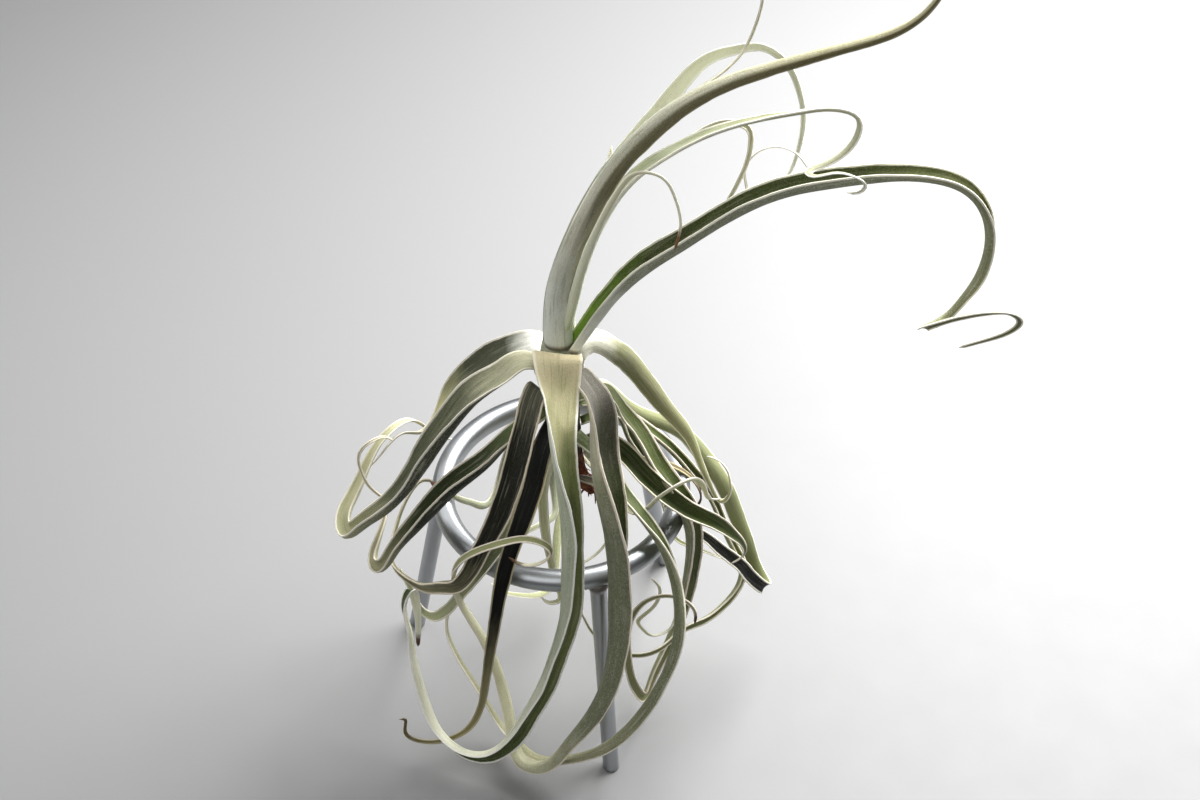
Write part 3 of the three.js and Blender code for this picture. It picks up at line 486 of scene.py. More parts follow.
def spline_points(route: np.ndarray, spacing: float) -> np.ndarray:
    """Points on the natural cubic spline through a route.

    Args:
        route: the points that it passes through, one a row.
        spacing: rough distance between the points returned.

    Returns:
        Evenly timed points, one a row.
    """
    knots = np.concatenate([[0.0], np.cumsum(np.linalg.norm(np.diff(route, axis=0), axis=1))])
    gaps = np.diff(knots)
    count = len(route)
    system = np.eye(count)
    wanted = np.zeros((count, 3))
    for i in range(1, count - 1):
        system[i, i - 1 : i + 2] = gaps[i - 1], 2 * (gaps[i - 1] + gaps[i]), gaps[i]
        wanted[i] = 6 * ((route[i + 1] - route[i]) / gaps[i] - (route[i] - route[i - 1]) / gaps[i - 1])
    bends = np.linalg.solve(system, wanted)
    times = np.linspace(0.0, knots[-1], int(np.ceil(knots[-1] / spacing)) + 1)
    index = np.clip(np.searchsorted(knots, times, side="right") - 1, 0, count - 2)
    left = (knots[index + 1] - times)[:, None]
    right = (times - knots[index])[:, None]
    gap = gaps[index][:, None]
    return (
        (bends[index] * left**3 + bends[index + 1] * right**3) / (6 * gap)
        + (route[index] / gap - bends[index] * gap / 6) * left
        + (route[index + 1] / gap - bends[index + 1] * gap / 6) * right
    )


@dataclass(frozen=True)
class Drift:
    """Slow seeded wandering between about -1 and 1, a sum of sines about one wavelength."""

    seed: int
    wavelength: float
    stretches: tuple[float, ...] = (1.9, 1.0, 0.61, 0.37)
    heights: tuple[float, ...] = (0.45, 0.3, 0.16, 0.09)

    def at(self, distance: np.ndarray) -> np.ndarray:
        """The wandering at distances along a leaf.

        Args:
            distance: in millimetres.

        Returns:
            One value for each distance.
        """
        phases = np.random.default_rng(self.seed).uniform(0.0, FULL_TURN, len(self.heights))
        turns = FULL_TURN * distance[..., None] / (self.wavelength * np.array(self.stretches)) + phases
        return (np.sin(turns) * self.heights).sum(axis=-1)


# Meshes ---------------------------------------------------------------------------------------


@dataclass(frozen=True)
class RowFrame:
    """Turns millimetres about the ring's axis into metres in the row's frame."""

    axis: Vector

    @classmethod
    def of_ring(cls) -> RowFrame:
        """The frame whose upright axis runs through the middle of the CAD ring."""
        low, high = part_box("stand_ring")
        return cls(Vector(((low[0] + high[0]) / 2, (low[1] + high[1]) / 2, 0.0)))

    def place(self, points: np.ndarray) -> np.ndarray:
        """Points in metres in the row's frame."""
        return np.asarray(points) * MM + np.array(self.axis)


@dataclass
class Surface:
    """Vertices, faces and named values of a mesh that is being built, in millimetres."""

    points: list[np.ndarray] = field(default_factory=list)
    faces: list[tuple[int, ...]] = field(default_factory=list)
    values: dict[str, list[np.ndarray]] = field(default_factory=dict)
    count: int = 0

    def add_rings(self, rings: np.ndarray, values: dict[str, Numbers], loop: bool = False) -> None:
        """Adds a tube of equal rings.

        Args:
            rings: points, as rings x sides x 3.
            values: what the points hold under each name, in any shape that spreads over the rings.
            loop: whether the last ring joins the first; otherwise each end gets a cap.
        """
        number, sides = rings.shape[:2]
        base, total = self.count, number * sides
        for i in range(number if loop else number - 1):
            for j in range(sides):
                here, beside = i * sides + j, i * sides + (j + 1) % sides
                corners = (here, beside, beside + sides, here + sides)
                self.faces.append(tuple(base + corner % total for corner in corners))
        if not loop:
            self.faces.append(tuple(base + j for j in reversed(range(sides))))
            self.faces.append(tuple(base + total - sides + j for j in range(sides)))
        self.points.append(rings.reshape(-1, 3))
        for name, value in values.items():
            self.values.setdefault(name, []).append(np.broadcast_to(value, (number, sides)).reshape(-1))
        self.count += total

    def add_strand(self, points: np.ndarray, radii: np.ndarray, around: float, sides: int = 8) -> None:
        """Adds a thin round strand.

        Args:
            points: its middle line.
            radii: its radius at each point.
            around: the value named around, the same all over it.
            sides: how many sides it has.
        """
        reference = [0.31, 0.17, 0.93]
        tangents = unit(np.gradient(points, axis=0))
        first = unit(np.cross(tangents, reference))
        second = np.cross(tangents, first)
        turn = np.linspace(0, FULL_TURN, sides, endpoint=False)[None, :, None]
        spokes = first[:, None] * np.cos(turn) + second[:, None] * np.sin(turn)
        rings = points[:, None] + radii[:, None, None] * spokes
        self.add_rings(rings, {"around": around, "length": np.arange(len(points))[:, None]})

    def build(self, name: str, frame: RowFrame, material: bpy.types.Material) -> bpy.types.Object:
        """Makes the smooth-shaded object.

        Args:
            name: of the object and its mesh.
            frame: the row's frame.
            material: the finish.

        Returns:
            The object, linked to the scene.
        """
        mesh = bpy.data.meshes.new(name)
        mesh.from_pydata(frame.place(np.concatenate(self.points)).tolist(), [], self.faces)
        for key, lists in self.values.items():
            layer = mesh.attributes.new(key, "FLOAT", "POINT")
            layer.data.foreach_set("value", np.concatenate(lists).astype(np.float32))
        mesh.shade_smooth()
        mesh.materials.append(material)
        return add_to_scene(name, mesh)


def add_to_scene(name: str, data: bpy.types.ID) -> bpy.types.Object:
    """Links a new object to the scene.

    Args:
        name: the object's name.
        data: its mesh, camera or light.

    Returns:
        The object.
    """
    made = bpy.data.objects.new(name, data)
    bpy.context.scene.collection.objects.link(made)
    return made


def place_piece(made: bpy.types.Object, node: str) -> None:
    """Puts a piece on the part's one body in place of a solid.

    Args:
        made: the piece.
        node: the solid that it stands for.
    """
    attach(made, "root")
    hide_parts(node)
    LOG.info("%s: %d vertices for %s", made.name, len(made.data.vertices), node)


# Shader sheets --------------------------------------------------------------------------------


def linear(code: str) -> Colour:
    """The linear colour of a six-digit sRGB code."""
    shown = [int(code[i : i + 2], 16) / 255 for i in (0, 2, 4)]
    return (*(c / 12.92 if c <= 0.04045 else ((c + 0.055) / 1.055) ** 2.4 for c in shown), 1.0)


class Signal:
    """A node's output that can be used in expressions; each operator adds a Math node."""

    def __init__(self, sheet: ShaderSheet, socket: bpy.types.NodeSocket) -> None:
        """Wraps an output socket of a sheet."""
        self.sheet = sheet
        self.socket = socket

    def __add__(self, other: Signal | float) -> Signal:
        """self + other."""
        return self.sheet.math("ADD", self, other)

    __radd__ = __add__

    def __sub__(self, other: Signal | float) -> Signal:
        """self - other."""
        return self.sheet.math("SUBTRACT", self, other)

    def __rsub__(self, other: Signal | float) -> Signal:
        """other - self."""
        return self.sheet.math("SUBTRACT", other, self)

    def __mul__(self, other: Signal | float) -> Signal:
        """self * other."""
        return self.sheet.math("MULTIPLY", self, other)

    __rmul__ = __mul__

    def rise(self, low: float, high: float) -> Signal:
        """Smooth 0 to 1 as self goes from low to high."""
        limits = {"Value": self, "From Min": low, "From Max": high}
        return self.sheet.node("ShaderNodeMapRange", {"interpolation_type": "SMOOTHSTEP"}, limits)

    def stirred(self, noise: Signal, amount: float) -> Signal:
        """self moved up and down by noise, by half of amount at most."""
        return self + (noise - 0.5) * amount


class ShaderSheet:
    """A material's node tree, written as expressions."""

    def __init__(self, name: str) -> None:
        """Starts an empty material.

        Args:
            name: the material's name.
        """
        self.material = bpy.data.materials.new(name)
        self.material.use_nodes = True
        self.tree = self.material.node_tree
        self.tree.nodes.clear()

    def node(
        self,
        kind: str,
        settings: dict[str, object] | None = None,
        inputs: dict[str | int, object] | None = None,
        output: str | int = 0,
    ) -> Signal:
        """Adds one node.

        Args:
            kind: its type.
            settings: its properties, set first; stops are a colour ramp's (place, colour) pairs.
            inputs: values or signals for its sockets, by name or number.
            output: which of its outputs is returned.

        Returns:
            That output.
        """
        made = self.tree.nodes.new(kind)
        for key, value in (settings or {}).items():
            if key == "stops":
                self._set_stops(made.color_ramp, value)
            else:
                setattr(made, key, value)
        for key, value in (inputs or {}).items():
            if isinstance(value, Signal):
                self.tree.links.new(value.socket, made.inputs[key])
            else:
                made.inputs[key].default_value = value
        return Signal(self, made.outputs[output])

    @staticmethod
    def _set_stops(ramp: bpy.types.ColorRamp, stops: Sequence[tuple[float, Colour]]) -> None:
        """Gives a ramp its stops.

        Args:
            ramp: a colour ramp.
            stops: places and colours, in order.
        """
        while len(ramp.elements) > 1:
            ramp.elements.remove(ramp.elements[-1])
        ramp.elements[0].position, ramp.elements[0].color = stops[0]
        for place, colour in stops[1:]:
            ramp.elements.new(place).color = colour

    def math(self, operation: str, *operands: Signal | float) -> Signal:
        """A Math node on values."""
        return self.node("ShaderNodeMath", {"operation": operation}, dict(enumerate(operands)))

    def value(self, name: str) -> Signal:
        """A named value of the mesh."""
        return self.node("ShaderNodeAttribute", {"attribute_name": name}, output="Fac")

    def mix(
        self,
        share: Signal | float,
        first: Signal | Colour,
        second: Signal | Colour,
        blend: str = "MIX",
    ) -> Signal:
        """Blends two colours.

        Args:
            share: 0 keeps the first colour, 1 gives the full blend.
            first: a colour.
            second: another, which replaces or, with a blend, changes the first.
            blend: the Mix node's blend type.

        Returns:
            The blended colour.
        """
        settings = {"data_type": "RGBA", "blend_type": blend}
        return self.node("ShaderNodeMix", settings, {"Factor": share, 6: first, 7: second}, output=2)

    def tint(self, share: Signal | float, first: Signal | Colour, second: Signal | Colour) -> Signal:
        """First multiplied by second as far as share says."""
        return self.mix(share, first, second, "MULTIPLY")

    def ramp(self, share: Signal, stops: Sequence[tuple[float, Colour]]) -> Signal:
        """Colour from a ramp."""
        return self.node("ShaderNodeValToRGB", {"stops": stops}, {"Fac": share}, output="Color")

    def vector(self, x: Signal | float, y: Signal | float, z: Signal | float) -> Signal:
        """A vector of three values."""
        return self.node("ShaderNodeCombineXYZ", inputs={"X": x, "Y": y, "Z": z})

    def noise(self, where: Signal, scale: float, detail: float = 2.0, rough: float = 0.5) -> Signal:
        """Noise from about 0 to 1 at a place."""
        inputs = {"Vector": where, "Scale": scale, "Detail": detail, "Roughness": rough}
        return self.node("ShaderNodeTexNoise", inputs=inputs)

    def place(self) -> Signal:
        """The place on the object, in metres."""
        return self.node("ShaderNodeTexCoord", output="Object")

    def height(self, where: Signal) -> Signal:
        """Height above the floor, in metres, of a place."""
        return self.node("ShaderNodeSeparateXYZ", inputs={"Vector": where}, output="Z")

    def bump(self, height: Signal, distance: float, strength: float = 1.0) -> Signal:
        """A normal from a height in units of distance."""
        inputs = {"Height": height, "Distance": distance, "Strength": strength}
        return self.node("ShaderNodeBump", inputs=inputs)

    def finish(self, inputs: dict[str, object]) -> bpy.types.Material:
        """Ends the sheet in a Principled surface.

        Args:
            inputs: its sockets' values or signals.

        Returns:
            The material.
        """
        shader = self.node("ShaderNodeBsdfPrincipled", inputs=inputs)
        output = self.tree.nodes.new("ShaderNodeOutputMaterial")
        self.tree.links.new(shader.socket, output.inputs["Surface"])
        return self.material


# Finishes -------------------------------------------------------------------------------------


@dataclass(frozen=True)
class LeafFinish:
    """One leaf's colours and the way that it is striped, scaled and withered.

    hollow is the upper, hollow side and back the underside: three sRGB codes each, near the base,
    along the middle and towards the tip; some leaves' codes hold painted shading, and a few painted
    light on a lit collar top. scurf is how thick the coat of pale scales lies and stripes how
    strongly the lengthwise lines show. shade is painted shading: it darkens the underside towards
    one margin, the side that the light misses, the left one when it is negative. stops are the
    places of the colours along the leaf, and the limits say where each effect sets in and where it
    is full.
    """

    hollow: str
    back: str
    scurf: float = 0.5
    stripes: float = 0.5
    margin: str = "f2ecdc"
    withered: str = "6b4a33"
    # how strongly the underside gets painted shading, and towards which margin
    painted_shade: float = 0.0
    pale_line: str = "dcd9c2"
    scale: str = "e4e5dc"
    dried: str = "3c2a1f"
    foot: str = "4d3a22"
    line_tint: Colour = (0.5, 0.52, 0.42, 1.0)
    speck_tint: Colour = (0.5, 0.52, 0.46, 1.0)
    # what the painted shading multiplies the underside's colour by
    painted_shade_tint: Colour = (0.3, 0.28, 0.21, 1.0)
    stops: tuple[float, float, float, float] = (0.05, 0.17, 0.4, 0.62)
    stop_wander: float = 0.12
    dark_line_limits: Limits = (0.52, 0.7)
    pale_line_limits: Limits = (0.32, 0.47)
    scale_limits: Limits = (0.46, 0.7)
    speck_limits: Limits = (0.3, 0.52)
    speck_strength: float = 0.4
    margin_limits: Limits = (0.5, 1.05)
    margin_base: Limits = (0.04, 0.14)
    # where the painted shading sets in across the leaf, and along it from the base
    painted_shade_limits: Limits = (0.2, 0.4)
    painted_shade_base: Limits = (0.12, 0.3)
    dry_limits: Limits = (0.25, 0.85)
    foot_limits: Limits = (0.3, 0.9)
    foot_strength: float = 0.7
    fray: float = 0.5

    def material(self, name: str) -> bpy.types.Material:
        """The material of that name, which reads the leaf mesh's named values."""
        return LeafSkin(self, ShaderSheet(name)).material()


class LeafSkin:
    """A leaf's sheet as its layers of colour are put on.

    grain is as fine as the scales, and patches shows where they lie thicker. fibres and wander are
    drawn out along the leaf: each stretch says how fast the noise changes across it, with each
    millimetre of its length and from one leaf to another.
    """

    GRAIN_SCALE: float = 2600.0
    PATCH_SCALE: float = 420.0
    FIBRE_SCALE: float = 1.6
    FIBRE_STRETCH: Point = (4.5, 0.03, 5.0)
    WANDER_SCALE: float = 2.0
    WANDER_STRETCH: Point = (0.8, 0.045, 9.0)

    def __init__(self, finish: LeafFinish, sheet: ShaderSheet) -> None:
        """Adds the nodes that the layers share.

        Args:
            finish: the leaf's finish.
            sheet: its empty sheet.
        """
        self.finish = finish
        self.sheet = sheet
        self.across = sheet.value("across")
        self.distance = sheet.value("distance")
        self.tone = sheet.value("tone")
        self.fraction = sheet.value("fraction")
        self.upper = sheet.value("upper").rise(0.35, 0.65)
        self.under = 1.0 - self.upper
        where = sheet.place()
        self.grain = sheet.noise(where, self.GRAIN_SCALE, rough=0.6)
        self.patches = sheet.noise(where, self.PATCH_SCALE)
        self.fibres = sheet.noise(self.drawn_out(self.FIBRE_STRETCH), self.FIBRE_SCALE, 3.0, 0.6)
        self.wander = sheet.noise(self.drawn_out(self.WANDER_STRETCH), self.WANDER_SCALE)
        self.colour = sheet.mix(self.upper, self.along_leaf(finish.back), self.along_leaf(finish.hollow))

    def drawn_out(self, stretch: Point) -> Signal:
        """Where noise that runs along the leaf is read."""
        values = (self.across, self.distance, self.tone)
        return self.sheet.vector(*(value * factor for value, factor in zip(values, stretch)))

    def along_leaf(self, codes: str) -> Signal:
        """Plain colour of one face.

        Args:
            codes: its three sRGB codes.

        Returns:
            The colour.
        """
        place = self.fraction.stirred(self.wander, self.finish.stop_wander)
        base, middle, tip = (linear(code) for code in codes.split())
        return self.sheet.ramp(place, list(zip(self.finish.stops, (base, middle, middle, tip))))

    def cover(self, share: Signal, code: str) -> None:
        """Mixes a colour over what is there."""
        self.colour = self.sheet.mix(share, self.colour, linear(code))

    def darken(self, share: Signal, tint: Colour) -> None:
        """Multiplies what is there by a tint."""
        self.colour = self.sheet.tint(share, self.colour, tint)

    def stripe(self) -> None:
        """Adds dark lengthwise lines, and pale ones that are stronger on the underside."""
        finish = self.finish
        self.darken(self.fibres.rise(*finish.dark_line_limits) * finish.stripes, finish.line_tint)
        pale = (1.0 - self.fibres.rise(*finish.pale_line_limits)) * finish.stripes
        self.cover(pale * (0.5 - self.upper * 0.25), finish.pale_line)

    def scale(self) -> None:
        """Adds the pale scales, thicker on the underside, and the dark specks between them."""
        finish = self.finish
        scales = self.grain.rise(*finish.scale_limits) * (0.4 + self.patches * 0.8) * finish.scurf
        self.cover(scales * (1.0 - self.upper * 0.7) * 0.6, finish.scale)
        specks = 1.0 - self.grain.rise(*finish.speck_limits)
        self.darken(specks * finish.speck_strength, finish.speck_tint)

    def edge(self) -> None:
        """Adds the pale, frayed margins, which fade towards the base."""
        finish = self.finish
        edge = self.sheet.value("edge").stirred(self.patches, finish.fray).stirred(self.grain, finish.fray)
        strength = 0.3 + self.fraction.rise(*finish.margin_base) * 0.65
        self.cover((1.0 - edge.rise(*finish.margin_limits)) * strength, finish.margin)

    def painted_shade(self) -> None:
        """Paints shading on the underside towards one margin, away from the base, where shade says so."""
        finish = self.finish
        if finish.painted_shade:
            side = math.copysign(1.0, finish.painted_shade)
            lean = (self.across * side).stirred(self.grain, finish.fray).rise(*finish.painted_shade_limits)
            share = lean * self.under * self.fraction.rise(*finish.painted_shade_base) * abs(finish.painted_shade)
            self.darken(share, finish.painted_shade_tint)

    def wither(self) -> None:
        """Browns the dry tip, and lays a dark brown band over the foot of a tuft leaf."""
        finish, sheet = self.finish, self.sheet
        dry = sheet.value("dry").stirred(self.patches, finish.fray).rise(*finish.dry_limits)
        brown = sheet.mix(self.grain, linear(finish.withered), linear(finish.dried))
        self.colour = sheet.mix(dry, self.colour, brown)
        self.cover(sheet.value("foot").rise(*finish.foot_limits) * finish.foot_strength, finish.foot)

    def material(self) -> bpy.types.Material:
        """Puts on the layers in order.

        Returns:
            The finished material.
        """
        for add_layer in (self.stripe, self.scale, self.edge, self.painted_shade, self.wither):
            add_layer()
        height = self.fibres * 0.45 + self.grain * 0.4 + self.patches * 0.15
        return self.sheet.finish(
            {
                "Base Color": self.colour,
                "Roughness": 0.62 + self.grain * 0.3 - self.upper * 0.1,
                "Normal": self.sheet.bump(height, 0.0005, 0.7),
                "Sheen Weight": 0.12,
                "Sheen Roughness": 0.4,
                "Specular IOR Level": 0.22,
            }
        )


FINISHES: dict[Coat, LeafFinish] = {
    Coat.OLIVE: LeafFinish("b9b08a 6f7447 b9bb86", "b3b39b 8d9475 b4b88c", 0.55, 0.7),
    Coat.SILVER: LeafFinish("8f8b86 5a6140 b0b48a", "b0b3a8 8b927c b4b895", 0.8, 0.5),
    Coat.DARK_GREEN: LeafFinish("33342a 2c3319 a7aa7c", "6f725c 59624a a9ad80", 0.35, 0.7),
    Coat.BRIGHT_GREEN: LeafFinish("7d9b3c 5f7a2a 8f9468", "a0aa94 8b9480 a3a888", 0.7, 0.6),
    Coat.PALE: LeafFinish("e4e2c8 c3c49a d0d0a4", "dcdcc8 c4c6a6 d0d0a8", 0.4, 0.5),
    Coat.BROWN: LeafFinish("8f7660 94795f 7a5f4a", "a08a74 97806a 7a604c", 0.3, 1.0),
}

OWN_FINISHES: dict[str, LeafFinish] = {
    "leaf_strap": LeafFinish("43382a b9bb94 d0d0a4", "43382a bcbf9c d0d0a8", 0.4, 0.5),
    "upper_brown_tip": LeafFinish(
        "c9cfa8 d8dcb8 e0dfc0", "d4dabc e0e2c8 dcd8b4", 0.5, 0.3, "fbf8e4", "a1764c"
    ),
    "leaf_brown_curl": LeafFinish(
        "5a5636 5e5a3c 6a5c40", "6a6644 6c6648 6a5640", 0.2, 1.0, "c9bd94", "4a3a26"
    ),
    "leaf_right_slim": LeafFinish("48541f 4a5624 7c8250", "80865f 646a44 9a9e72", 0.4, 0.4),
    "leaf_right_long": LeafFinish("48541f 48541f 7c8250", "8f9474 6a7048 a2a678", 0.4, 0.4, "efe6d4"),
    "leaf_front": LeafFinish("c2b791 7c8550 404f1c", "e6e6d2 b6bea4 f4f4dc", 0.8, 0.6, "fffdf4"),
    "leaf_front_right": LeafFinish("57534a 3f4a1e 8c8f60", "cbc4b0 74775a efecc8", 0.6, 0.3, "f2e8d6"),
    # leaf_left: the dark brown-green underside near the base and along the middle is painted shading of
    # its downward-facing near wall
    "leaf_left": LeafFinish("a29f82 6e7158 c4c29a", "565834 3a3d26 c4c29a", 0.7, 0.7),
    # leaf_back_left: the near-white base of the upper face is painted light on the lit collar top, and the
    # dark middles of both faces are painted shading of the near wall under the collar
    "leaf_back_left": LeafFinish("fbfaf0 4a4e38 c4c192", "c8c8b4 3c412a c4c192", 0.4, 0.4),
    # leaf_back: a pale base, whitened to near white on the upper face as painted light where the key
    # lights the collar top
    "leaf_back": LeafFinish("fffef6 8d9070 c3c596", "dcdecb 8f9674 bcc090", 0.6, 0.5),
    # leaf_right: a pale base, whitened to near white on the upper face as painted light where the key
    # lights the collar top
    "leaf_right": LeafFinish("fdfbee 84845e 9d9e72", "c8c8b0 6a6d4b a0a376", 0.5, 0.5),
    # leaf_right_outer: the underside, darkening to near black towards the tip, is painted shading of the
    # face that looks away from the key light
    "leaf_right_outer": LeafFinish("c6c6a4 94986e 7c8256", "5a6040 23271a 0b0d05", 0.1, 0.3, "fbf6e4"),
    # leaf_front_left: the near-black middle of the hollow is painted shading of its unlit inner face
    "leaf_front_left": LeafFinish("6a6858 25251b 8a8664", "8d8c6c 63654b 9c9974", 0.3, 1.0, "e0d4be"),
    # leaf_left_channel: the near-black underside is painted shading of the near wall, which faces down
    # away from the light
    "leaf_left_channel": LeafFinish("5a6638 333c1c b0ae8a", "343a22 1c2210 b4b290", 0.3, 0.6, "f0e6d4"),
    # leaf_dark: the near-black hollow and the dark underside are painted shading of a leaf deep in the
    # rosette
    "leaf_dark": LeafFinish("070705 070705 8c8660", "1a1b12 3c3926 a8a07a", 0.05, 0.1, "b5ab8a", "9a8a62"),
    "leaf_right_low": LeafFinish("48521f 343f14 4c5a22", "6f7553 4c5434 848864", 0.25, 0.4, "f0e7d6"),
    "leaf_right_mid": LeafFinish("474f1f 47521f 8d9060", "b3ab9a 777b5c 9ca074", 0.5, 0.5, "f2e6d8"),
    "leaf_right_hoop": LeafFinish("3f4a1c 4b5722 a8a680", "9aa07e 75795a aeac88", 0.6, 0.5),
    # upper_rolled: painted shading darkens the lower side of its underside, which the light misses
    "upper_rolled": LeafFinish(
        "8f9484 8a8c72 b0ad88", "d6dad0 b0ae9a a29c76", 0.9, 0.6, "fffdf2", painted_shade=-1.0
    ),
    "upper_channel": LeafFinish("76982c 3e4814 5e622c", "e2e5da 84886e 84865e", 0.9, 0.5, "fffbe8"),
    "upper_pale": LeafFinish("f4f5dc fcfde6 f0f2d2", "f8f8e6 fafae4 f0f2d2", 0.3, 0.2, "fffff0"),
    "upper_arching": LeafFinish("b4bc98 d4dab6 a2a27c", "e4e7d6 eef0d8 b5b595", 0.6, 0.6, "fffdee"),
}


@dataclass(frozen=True)
class MetalFinish:
    """Polished steel with faint drawing lines, dull at the welds."""

    colour: str = "b4b7ba"
    smudged: str = "8f9194"
    welded: str = "7b7672"
    roughness: float = 0.4

    def material(self, name: str) -> bpy.types.Material:
        """Builds the material.

        Args:
            name: its name.

        Returns:
            The material, which reads the mesh's values around, length and weld.
        """
        sheet = ShaderSheet(name)
        smudge = sheet.noise(sheet.place(), 90.0, 3.0, 0.6)
        drawn = sheet.vector(sheet.value("around") * 40.0, sheet.value("length") * 0.02, 0.0)
        lines = sheet.noise(drawn, 6.0)
        weld = sheet.value("weld")
        colour = sheet.mix(smudge * 0.5, linear(self.colour), linear(self.smudged))
        roughness = self.roughness + (smudge - 0.5) * 0.16 + (lines - 0.5) * 0.1 + weld * 0.2
        return sheet.finish(
            {
                "Base Color": sheet.mix(weld, colour, linear(self.welded)),
                "Metallic": 1.0,
                "Roughness": roughness,
                "Normal": sheet.bump(lines * 0.6 + smudge * 0.4, 0.00004, 0.5),
            }
        )


@dataclass(frozen=True)
class HuskFinish:
    """Dry stem: rusty, fibrous remains below, dark olive above them and a green sheath on top.

    olive_from and sheath_from are the heights, in metres, where the upper two fade in.
    """

    dark: str = "1f130b"
    rusty: str = "6e3519"
    pale: str = "8e6a44"
    olive: tuple[str, str] = ("1d1c12", "3a3823")
    sheath: tuple[str, str] = ("7c8064", "b9bcaa")
    olive_from: tuple[float, float] = (0.129, 0.141)
    sheath_from: tuple[float, float] = (0.192, 0.194)

    def material(self, name: str) -> bpy.types.Material:
        """Builds the material.

        Args:
            name: its name.

        Returns:
            The material, which reads the mesh's values around and length.
        """
        sheet = ShaderSheet(name)
        where = sheet.place()
        lengthwise = sheet.vector(sheet.value("around") * 9.0, sheet.value("length") * 0.12, 0.0)
        fibres = sheet.noise(lengthwise, 3.0, 4.0, 0.65)
        patches = sheet.noise(where, 190.0, 3.0, 0.6)
        stops = [(0.3, linear(self.dark)), (0.52, linear(self.rusty)), (0.75, linear(self.pale))]
        colour = sheet.ramp(fibres * 0.7 + patches * 0.3, stops)
        height = sheet.height(where)
        for codes, limits in ((self.olive, self.olive_from), (self.sheath, self.sheath_from)):
            colour = sheet.mix(height.rise(*limits), colour, sheet.mix(fibres, *map(linear, codes)))
        return sheet.finish(
            {
                "Base Color": colour,
                "Roughness": 0.75 + fibres * 0.2,
                "Normal": sheet.bump(fibres, 0.0009, 0.9),
                "Specular IOR Level": 0.3,
            }
        )


@dataclass(frozen=True)
class FloorFinish:
    """Pale seamless paper."""

    colour: str = "8f8f8f"

    def material(self, name: str) -> bpy.types.Material:
        """Builds the material.

        Args:
            name: its name.

        Returns:
            The material.
        """
        sheet = ShaderSheet(name)
        fleck = sheet.noise(sheet.place(), 45.0, 4.0, 0.6)
        return sheet.finish(
            {
                "Base Color": sheet.tint(fleck * 0.06, linear(self.colour), (0.8, 0.8, 0.8, 1.0)),
                "Roughness": 0.55 + fleck * 0.1,
            }
        )


# Stand ----------------------------------------------------------------------------------------


